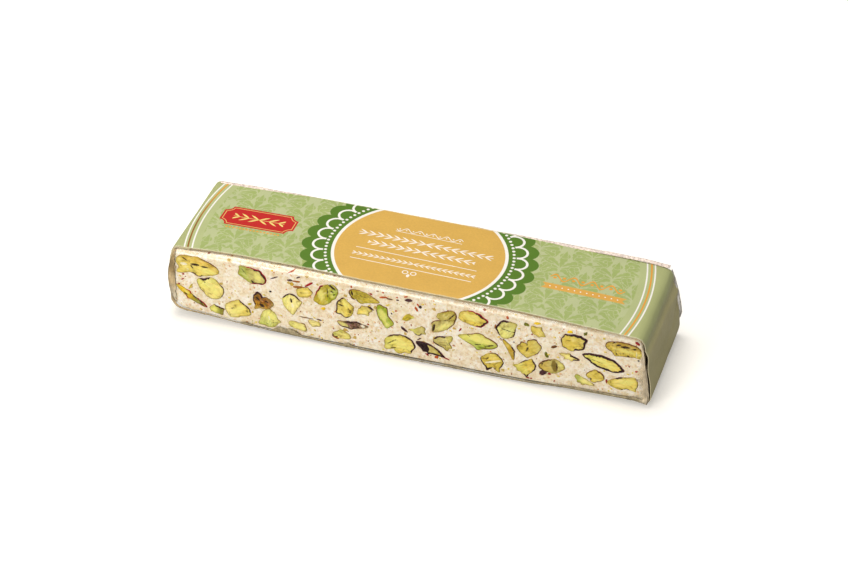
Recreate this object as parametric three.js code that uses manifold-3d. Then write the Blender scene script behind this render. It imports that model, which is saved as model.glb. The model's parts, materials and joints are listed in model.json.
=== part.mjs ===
// A bar of soft nougat set with pistachio kernels, cut flush at its long faces. It lies in a clear
// film wrap, and a printed paper band runs lengthwise round it: over the top, down both ends and
// under the bar. Millimetres, +X along the bar, +Y to its back, +Z up.
import * as THREE from "three";
import { mergeVertices } from "three/addons/utils/BufferGeometryUtils.js";
import Module from "manifold-3d";

const PAPER = 0.35; // thickness of the band
const FILM = 0.3; // thickness of the clear wrap
const GAP = 0.3; // clearance between two pieces that lie against each other

const BAND_HALF_WIDTH = 22.1; // the band is a little narrower than the bar
const FILM_HALF_WIDTH = 23.3;
const BLOCK_HALF_WIDTH = FILM_HALF_WIDTH - FILM - GAP;
const BLOCK_LEFT = -84.9; // the block stops short of the wrap, which stands off its left end
const TOP_ROUND = 2.4; // radius of the wrap's long edges along the top
const FOOT_ROUND = 0.9; // and along the underside
const ROUND_STEPS = 3;

// The band's side view, from the left end of its top round to the right: each stretch is a
// quadratic curve to the point `to`, bent towards the point `by`.
const BAND_START = [-83.6, 28.9];
const BAND_STRETCHES = [
  { by: [0, 31.0], to: [82.8, 28.2], steps: 12 }, // the crowned top
  { by: [86.0, 27.9], to: [86.6, 24.4], steps: 5 }, // soft fold at the right
  { by: [88.2, 13.0], to: [88.9, 4.4], steps: 4 }, // the right end leans out
  { by: [89.0, 1.9], to: [86.4, 1.7], steps: 4 },
  { by: [52.0, 0], to: [25.0, 0], steps: 5 }, // the underside rises to the right
  { by: [-5.0, 0], to: [-35.0, 0], steps: 1 }, // the flat that the bar rests on
  { by: [-60.0, 0], to: [-80.5, 2.1], steps: 5 },
  { by: [-86.4, 2.7], to: [-87.4, 9.0], steps: 6 }, // wide curve at the left foot
  { by: [-89.4, 19.5], to: [-86.6, 26.6], steps: 6 }, // the left end bulges
  { by: [-85.8, 28.9], to: BAND_START, steps: 4 }, // crisp fold at the left
];

// The wrap's ends are folded flaps that meet in a narrow slit across each end.
const SLIT = { length: 30, height: 0.6, reach: 6, leftUp: 17.6, rightUp: 15.0 };

// The kernels that show in the front face. x and z give the middle, long and wide the size, and
// turn the tilt in degrees. taper widens the right end, tip above 1 sharpens both ends and below 1
// squares them, bend bows the kernel, and notch is a dent at an angle from the long axis.
const FRONT_KERNELS = [
  { x: -75.9, z: 22.6, long: 16.4, wide: 7.6, turn: -8, taper: -0.15 },
  { x: -71.5, z: 13.9, long: 10.6, wide: 8.4, turn: -28, taper: 0.12 },
  { x: -79.4, z: 9.4, long: 12.6, wide: 2.9, turn: -34, bend: 0.4 },
  { x: -69.5, z: 5.3, long: 5.8, wide: 3.7, turn: -6, taper: 0.1 },
  { x: -61.6, z: 7.2, long: 10.0, wide: 7.8, turn: 12, tip: 1.25 },
  { x: -55.8, z: 23.2, long: 10.6, wide: 6.6, turn: -14, tip: 0.9 },
  { x: -52.1, z: 12.8, long: 8.2, wide: 6.8, turn: -30, notch: { at: 105, depth: 0.3, width: 28 } },
  { x: -49.6, z: 6.0, long: 8.2, wide: 7.2, turn: 90, taper: -0.12 },
  { x: -41.2, z: 14.3, long: 8.7, wide: 7.2, turn: 90, taper: 0.22, tip: 1.1 },
  { x: -36.3, z: 20.2, long: 6.2, wide: 4.8, turn: 14 },
  { x: -28.2, z: 21.1, long: 11.2, wide: 7.4, turn: 56, notch: { at: 12, depth: 0.22, width: 22 } },
  { x: -39.0, z: 5.2, long: 7.6, wide: 3.4, turn: -14 },
  { x: -32.6, z: 7.6, long: 4.8, wide: 2.7, turn: -4 },
  { x: -14.8, z: 23.1, long: 11.2, wide: 4.9, turn: -10, taper: -0.2 },
  { x: -21.4, z: 16.8, long: 8.2, wide: 6.6, turn: 112 },
  { x: -14.3, z: 17.4, long: 5.6, wide: 3.8, turn: 30, tip: 1.2 },
  { x: -6.9, z: 16.7, long: 10.2, wide: 4.6, turn: -62, bend: 0.7 },
  { x: -19.0, z: 10.1, long: 10.6, wide: 3.6, turn: 6 },
  { x: -22.6, z: 5.0, long: 7.0, wide: 3.8, turn: 6 },
  { x: -1.2, z: 6.3, long: 12.0, wide: 7.9, turn: 2, taper: 0.1 },
  { x: 6.2, z: 13.3, long: 5.6, wide: 3.4, turn: 42, taper: -0.3 },
  { x: 10.1, z: 6.4, long: 10.8, wide: 4.1, turn: -21, taper: -0.15, tip: 1.1 },
  { x: 14.7, z: 19.4, long: 12.2, wide: 7.2, turn: 47, notch: { at: 125, depth: 0.3, width: 26 } },
  { x: 14.9, z: 10.6, long: 8.2, wide: 5.2, turn: 4, notch: { at: -12, depth: 0.28, width: 24 } },
  { x: 25.1, z: 22.9, long: 10.6, wide: 6.3, turn: -11, tip: 0.9 },
  { x: 27.3, z: 13.8, long: 14.0, wide: 6.0, turn: -7, taper: 0.22, tip: 1.2 },
  { x: 37.2, z: 21.2, long: 8.0, wide: 7.2, turn: 78, tip: 0.85 },
  { x: 38.9, z: 12.7, long: 7.6, wide: 2.5, turn: -64, bend: -0.5 },
  { x: 45.7, z: 15.2, long: 9.0, wide: 7.2, turn: 28, notch: { at: 112, depth: 0.24, width: 24 } },
  { x: 48.3, z: 22.7, long: 5.6, wide: 3.9, turn: -28 },
  { x: 32.8, z: 6.3, long: 8.4, wide: 7.2, turn: 10, tip: 0.9 },
  { x: 44.9, z: 6.6, long: 8.6, wide: 6.0, turn: 38, taper: 0.1, tip: 1.15 },
  { x: 54.0, z: 9.3, long: 9.4, wide: 6.2, turn: 14, tip: 0.9 },
  { x: 61.3, z: 21.1, long: 9.0, wide: 7.0, turn: 8, tip: 0.9 },
  { x: 60.2, z: 14.7, long: 7.6, wide: 2.2, turn: -12 },
  { x: 72.0, z: 14.9, long: 16.2, wide: 5.7, turn: -15, tip: 1.05 },
  { x: 79.0, z: 22.3, long: 12.8, wide: 6.3, turn: -3, tip: 0.85 },
  { x: 69.7, z: 8.7, long: 6.3, wide: 5.2, turn: 8 },
  { x: 65.3, z: 5.9, long: 7.4, wide: 2.6, turn: -22 },
  { x: 79.5, z: 8.0, long: 11.0, wide: 5.4, turn: 14 },
];

// The back face has kernels of the same kinds, spread by rule in three staggered rows.
const BACK_ROWS = [
  { z: 23.0, first: -68, pitch: 27.0, count: 6 },
  { z: 15.2, first: -56, pitch: 28.0, count: 5 },
  { z: 7.4, first: -67, pitch: 26.5, count: 6 },
];
const BACK_DRIFT = { x: 4.0, z: 0.5 }; // how far a kernel may lie from its place in the row
const BACK_SIZE = { long: [9, 15], wide: [4.6, 6.2], turn: 14 };
const SEED = 20;

const KERNEL_SIDES = 14;
const KERNEL_DEPTH = 0.45; // how deep a kernel reaches in, as a share of its width
const PROUD = 1.0; // the uncut kernel passes through the cut face by this much
const KERNEL_RINGS = [
  { depth: 0.55, scale: 0.84 },
  { depth: 1.0, scale: 0.4 },
];

const COLOURS = {
  nougat: 0xeadfc6,
  film: 0xf4f2ec,
  paper: 0xb4bd84,
  kernels: [0xdcd06a, 0xd8d47c, 0xc9b648, 0xb9b84e, 0xe4d577],
};
const DEGREE = Math.PI / 180;

const wasm = await Module();
wasm.setup();

// ---- outlines in the side view, as lists of (x, z) that run anticlockwise seen from the front ----

function bandOutline() {
  let from = new THREE.Vector2(...BAND_START);
  const points = [];
  for (const { by, to, steps } of BAND_STRETCHES) {
    const end = new THREE.Vector2(...to);
    const curve = new THREE.QuadraticBezierCurve(from, new THREE.Vector2(...by), end);
    points.push(...curve.getPoints(steps).slice(1));
    from = end;
  }
  return points.reverse();
}

// Moves every point of an outline inwards; distance is a number or a function of the point.
function inset(points, distance) {
  const count = points.length;
  return points.map((point, i) => {
    const before = point.clone().sub(points[(i + count - 1) % count]).normalize();
    const after = points[(i + 1) % count].clone().sub(point).normalize();
    const normals = [before, after].map((side) => new THREE.Vector2(-side.y, side.x));
    const miter = normals[0].clone().add(normals[1]).divideScalar(1 + normals[0].dot(normals[1]));
    const by = typeof distance === "function" ? distance(point) : distance;
    return point.clone().addScaledVector(miter, by);
  });
}

// Cuts an outline off at the vertical line through x, and keeps what is to its right.
function cutLeft(points, x) {
  const kept = [];
  for (const [i, point] of points.entries()) {
    const next = points[(i + 1) % points.length];
    if (point.x > x) kept.push(point);
    if (point.x > x !== next.x > x) {
      kept.push(point.clone().lerp(next, (x - point.x) / (next.x - point.x)));
    }
  }
  return kept;
}

function kernelOutline(kernel, grow) {
  const { x, z, long, wide, turn = 0, taper = 0, tip = 1, bend = 0, notch } = kernel;
  const points = [];
  for (let i = 0; i < KERNEL_SIDES; i++) {
    const angle = (360 * i) / KERNEL_SIDES;
    const along = Math.cos(angle * DEGREE);
    const sine = Math.sin(angle * DEGREE);
    const across = Math.sign(sine) * Math.abs(sine) ** tip * (1 + taper * along);
    let dent = 1;
    if (notch) {
      const away = ((angle - notch.at + 540) % 360) - 180;
      dent -= notch.depth * Math.exp(-((away / notch.width) ** 2));
    }
    const bow = bend * (along ** 2 - 0.5);
    points.push(new THREE.Vector2((dent * along * long) / 2, (dent * across * wide) / 2 + bow));
  }
  const origin = new THREE.Vector2();
  const middle = new THREE.Vector2(x, z);
  const turned = points.map((point) => point.rotateAround(origin, turn * DEGREE).add(middle));
  return inset(turned, -grow);
}

// ---- solids ----

// Joins rings of equal length, each deeper (+Y) than the last, and closes both ends flat.
function loft(rings) {
  const count = rings[0].length;
  const faces = [];
  for (let ring = 0; ring + 1 < rings.length; ring++) {
    for (let i = 0; i < count; i++) {
      const a = ring * count + i;
      const b = ring * count + ((i + 1) % count);
      faces.push([a, a + count, b], [b, a + count, b + count]);
    }
  }
  const flat = (ring) => ring.map((point) => new THREE.Vector2(point.x, point.z));
  const last = (rings.length - 1) * count;
  for (const face of THREE.ShapeUtils.triangulateShape(flat(rings[0]), [])) faces.push(face);
  for (const [a, b, c] of THREE.ShapeUtils.triangulateShape(flat(rings.at(-1)), [])) {
    faces.push([last + c, last + b, last + a]);
  }
  const geometry = new THREE.BufferGeometry().setFromPoints(rings.flat());
  return geometry.setIndex(faces.flat());
}

const atDepth = (points, y) => points.map((point) => new THREE.Vector3(point.x, y, point.y));

// An outline made solid between two flat faces, with its long edges rounded: each ring further
// out is pressed a little flatter, by the top's radius at the top and by the foot's at the foot.
function roundedSlab(outline, halfWidth, topRound, footRound) {
  const { lerp, mapLinear } = THREE.MathUtils;
  const heights = outline.map((point) => point.y);
  const low = Math.min(...heights);
  const high = Math.max(...heights);
  const front = [];
  for (let step = 0; step <= ROUND_STEPS; step++) {
    const angle = (step / ROUND_STEPS) * 90 * DEGREE;
    const press = 1 - Math.sin(angle);
    front.push(
      outline.map(({ x, y }) => {
        const back = lerp(footRound, topRound, (y - low) / (high - low)) * (1 - Math.cos(angle));
        const z = mapLinear(y, low, high, low + footRound * press, high - topRound * press);
        return new THREE.Vector3(x, back - halfWidth, z);
      }),
    );
  }
  const mirrored = front.map((ring) => ring.map(({ x, y, z }) => new THREE.Vector3(x, -y, z)));
  return loft([...front, ...mirrored.reverse()]);
}

// A kernel that crosses the front face; `grow` makes it larger all round, for its pocket.
function kernelBody(kernel, grow = 0) {
  const outline = kernelOutline(kernel, grow);
  const middle = new THREE.Vector2(kernel.x, kernel.z);
  const depth = KERNEL_DEPTH * kernel.wide + grow;
  const rings = [atDepth(outline, -BLOCK_HALF_WIDTH - PROUD)];
  for (const ring of KERNEL_RINGS) {
    const shrunk = outline.map((point) => point.clone().lerp(middle, 1 - ring.scale));
    rings.push(atDepth(shrunk, -BLOCK_HALF_WIDTH + depth * ring.depth));
  }
  return loft(rings);
}

function toSolid(geometry) {
  const bare = geometry.clone();
  bare.deleteAttribute("normal");
  bare.deleteAttribute("uv");
  const merged = mergeVertices(bare, 1e-4);
  return new wasm.Manifold(
    new wasm.Mesh({
      numProp: 3,
      vertProperties: merged.attributes.position.array,
      triVerts: new Uint32Array(merged.index.array),
    }),
  );
}

function toGeometry(solid) {
  const { vertProperties, triVerts } = solid.getMesh();
  const geometry = new THREE.BufferGeometry();
  geometry.setAttribute("position", new THREE.BufferAttribute(vertProperties, 3));
  geometry.setIndex(new THREE.BufferAttribute(triVerts, 1));
  return geometry;
}

// ---- the pieces ----

function backKernels() {
  let state = SEED;
  const random = () => {
    state = (state * 16807) % 2147483647;
    return state / 2147483647;
  };
  const between = (low, high) => low + (high - low) * random();
  const kernels = [];
  for (const { z, first, pitch, count } of BACK_ROWS) {
    for (let i = 0; i < count; i++) {
      kernels.push({
        x: first + pitch * i + between(-BACK_DRIFT.x, BACK_DRIFT.x),
        z: z + between(-BACK_DRIFT.z, BACK_DRIFT.z),
        long: between(...BACK_SIZE.long),
        wide: between(...BACK_SIZE.wide),
        turn: between(-BACK_SIZE.turn, BACK_SIZE.turn),
        taper: between(-0.2, 0.2),
        tip: between(0.9, 1.2),
      });
    }
  }
  return kernels;
}

// Each kernel is cut by the block's own surface, and the block has a pocket round each kernel.
function blockAndKernels(block) {
  const kernels = [];
  const faces = [
    { name: "front", list: FRONT_KERNELS, turn: 0 },
    { name: "back", list: backKernels(), turn: Math.PI },
  ];
  for (const { name, list, turn } of faces) {
    for (const [i, kernel] of list.entries()) {
      const number = String(i + 1).padStart(2, "0");
      const whole = toSolid(kernelBody(kernel).rotateZ(turn));
      const pocket = toSolid(kernelBody(kernel, GAP).rotateZ(turn));
      const solid = block.whole.intersect(whole);
      block.cut = block.cut.subtract(pocket);
      kernels.push({ name: `kernel_${name}_${number}`, solid });
    }
  }
  return kernels;
}

function filmWrap(outline) {
  const outer = inset(outline, PAPER + GAP);
  const inner = inset(outer, FILM);
  const skin = toSolid(roundedSlab(outer, FILM_HALF_WIDTH, TOP_ROUND, FOOT_ROUND));
  const inside = roundedSlab(inner, FILM_HALF_WIDTH - FILM, TOP_ROUND - FILM, FOOT_ROUND - FILM);
  let wrap = skin.subtract(toSolid(inside));
  const ends = [
    { x: BLOCK_LEFT - SLIT.reach / 2, z: SLIT.leftUp },
    { x: -BLOCK_LEFT + SLIT.reach / 2, z: SLIT.rightUp },
  ];
  for (const { x, z } of ends) {
    const slit = new THREE.BoxGeometry(SLIT.reach, SLIT.length, SLIT.height).translate(x, 0, z);
    wrap = wrap.subtract(toSolid(slit));
  }
  return wrap;
}

function paperBand(outline) {
  const shape = new THREE.Shape(outline);
  shape.holes.push(new THREE.Path(inset(outline, PAPER)));
  const settings = { depth: 2 * BAND_HALF_WIDTH, bevelEnabled: false };
  const band = new THREE.ExtrudeGeometry(shape, settings);
  return band.rotateX(Math.PI / 2).translate(0, BAND_HALF_WIDTH, 0);
}

function nougatBlock(outline) {
  const within = cutLeft(inset(outline, PAPER + GAP + FILM + GAP), BLOCK_LEFT);
  const edge = FILM + GAP;
  const slab = roundedSlab(within, BLOCK_HALF_WIDTH, TOP_ROUND - edge, FOOT_ROUND - edge);
  const whole = toSolid(slab);
  return { whole, cut: whole };
}

function addMesh(group, name, geometry, look) {
  const mesh = new THREE.Mesh(geometry, new THREE.MeshStandardMaterial(look));
  mesh.name = name;
  group.add(mesh);
}

function makeBar() {
  const outline = bandOutline();
  const block = nougatBlock(outline);
  const kernels = blockAndKernels(block);
  const bar = new THREE.Group();

  addMesh(bar, "nougat", toGeometry(block.cut), { color: COLOURS.nougat, roughness: 0.75 });
  for (const [i, { name, solid }] of kernels.entries()) {
    const color = COLOURS.kernels[i % COLOURS.kernels.length];
    addMesh(bar, name, toGeometry(solid), { color, roughness: 0.55 });
  }
  const clear = { color: COLOURS.film, roughness: 0.12, transparent: true, opacity: 0.2 };
  addMesh(bar, "film_wrap", toGeometry(filmWrap(outline)), clear);
  addMesh(bar, "paper_band", paperBand(outline), { color: COLOURS.paper, roughness: 0.6 });

  // The origin lies under the middle of the bar.
  const box = new THREE.Box3().setFromObject(bar);
  const middle = box.getCenter(new THREE.Vector3());
  bar.position.set(-middle.x, -middle.y, -box.min.z);
  return bar;
}

export default makeBar();
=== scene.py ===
"""Looks of a soft nougat bar with pistachios, in clear film, with a printed paper band round it.

Sizes are in millimetres and places are in the frame's axes: +X along the bar, +Y to its back and
+Z up. On the two cut faces, heights count from FOOT, where the cut face begins. A face is laid
out as it is seen from in front of it; the back face is the same layout turned half round.
"""

import json
import math
import random

import bpy
import numpy as np
from mathutils import Matrix, Vector, geometry, noise

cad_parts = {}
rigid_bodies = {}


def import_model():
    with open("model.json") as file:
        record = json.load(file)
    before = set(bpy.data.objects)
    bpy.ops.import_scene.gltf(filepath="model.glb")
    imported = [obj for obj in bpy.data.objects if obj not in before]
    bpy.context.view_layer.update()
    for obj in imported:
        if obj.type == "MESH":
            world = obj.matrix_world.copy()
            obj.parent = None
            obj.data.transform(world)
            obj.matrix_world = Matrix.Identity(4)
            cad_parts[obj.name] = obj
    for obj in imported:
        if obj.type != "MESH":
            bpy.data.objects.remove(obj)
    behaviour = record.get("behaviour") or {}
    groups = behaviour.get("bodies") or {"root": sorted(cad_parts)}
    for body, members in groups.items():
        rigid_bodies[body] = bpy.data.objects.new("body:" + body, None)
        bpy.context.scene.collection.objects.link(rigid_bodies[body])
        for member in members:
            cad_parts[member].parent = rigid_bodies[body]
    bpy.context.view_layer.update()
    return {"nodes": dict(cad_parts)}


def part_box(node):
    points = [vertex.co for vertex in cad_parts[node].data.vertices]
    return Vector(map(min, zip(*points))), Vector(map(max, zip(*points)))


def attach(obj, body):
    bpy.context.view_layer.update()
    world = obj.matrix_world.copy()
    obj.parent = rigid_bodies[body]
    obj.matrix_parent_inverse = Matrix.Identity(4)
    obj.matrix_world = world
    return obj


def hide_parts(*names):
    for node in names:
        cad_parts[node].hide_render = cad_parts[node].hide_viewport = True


for leftover in list(bpy.data.objects):
    bpy.data.objects.remove(leftover)
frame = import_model()

MM = 0.001
FRONT, BACK = -1, 1
WORDS = {FRONT: "front", BACK: "back"}
FOOT = 2.5  # height of the cut face's lower edge

# ---- colours, as they look in even white light ----


def colour(red, green, blue):
    """A colour given as 0 to 255, in the linear numbers that shaders take."""
    parts = []
    for part in (red, green, blue):
        share = part / 255
        parts.append(share / 12.92 if share <= 0.04045 else ((share + 0.055) / 1.055) ** 2.4)
    return (*parts, 1.0)


FLESH = {
    "butter": colour(252, 236, 150),
    "primrose": colour(243, 224, 128),
    "yellow": colour(237, 214, 104),
    "gold": colour(229, 202, 84),
    "lemon": colour(240, 200, 28),
    "lime": colour(226, 220, 106),
    "pale_green": colour(230, 224, 130),
    "leaf": colour(148, 176, 34),
    "olive": colour(196, 174, 46),
    "moss": colour(112, 112, 16),
    "khaki": colour(208, 192, 112),
    "ochre": colour(208, 168, 50),
    "amber": colour(216, 160, 22),
    "brown": colour(160, 94, 20),
    "bark": colour(104, 62, 16),
    "mauve": colour(150, 106, 96),
    "plum": colour(74, 38, 42),
    "wine": colour(156, 26, 26),
    "rust": colour(186, 82, 28),
    "peach": colour(240, 196, 150),
    "pith": colour(247, 238, 218),
    "black": colour(38, 18, 16),
}
SKIN = {
    "plum": colour(76, 16, 22),
    "wine": colour(172, 12, 20),
    "umber": colour(122, 66, 18),
}

# ---- the kernels ----
# Directions are degrees round the kernel's middle, from +X towards +Z on the face.
# flesh and tint: the names of its colour and of its skin's colour
# lean: the second colour, the direction it grows in, and how far it gets (0 to 1)
# skin: (direction, half spread, thickness) of each stretch of dark skin along the rim
# cuts, seams, glows and folds: dark clefts coloured with painted shade, pale clefts, soft bright
# streaks and hollows in olive painted shade, as (x, height, x, height, width) on the face
# pull: (direction, distance, spread) by which the outline bulges, or dents where it is negative
# blotch: how strongly brown blotches cover the flesh (0 to 1)


def look(flesh, lean=None, skin=(), cuts=(), seams=(), glows=(), folds=(), pull=(), tint="plum",
         blotch=0.0):
    return dict(flesh=flesh, lean=lean, skin=skin, cuts=cuts, seams=seams, glows=glows,
                folds=folds, pull=pull, tint=tint, blotch=blotch)


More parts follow.
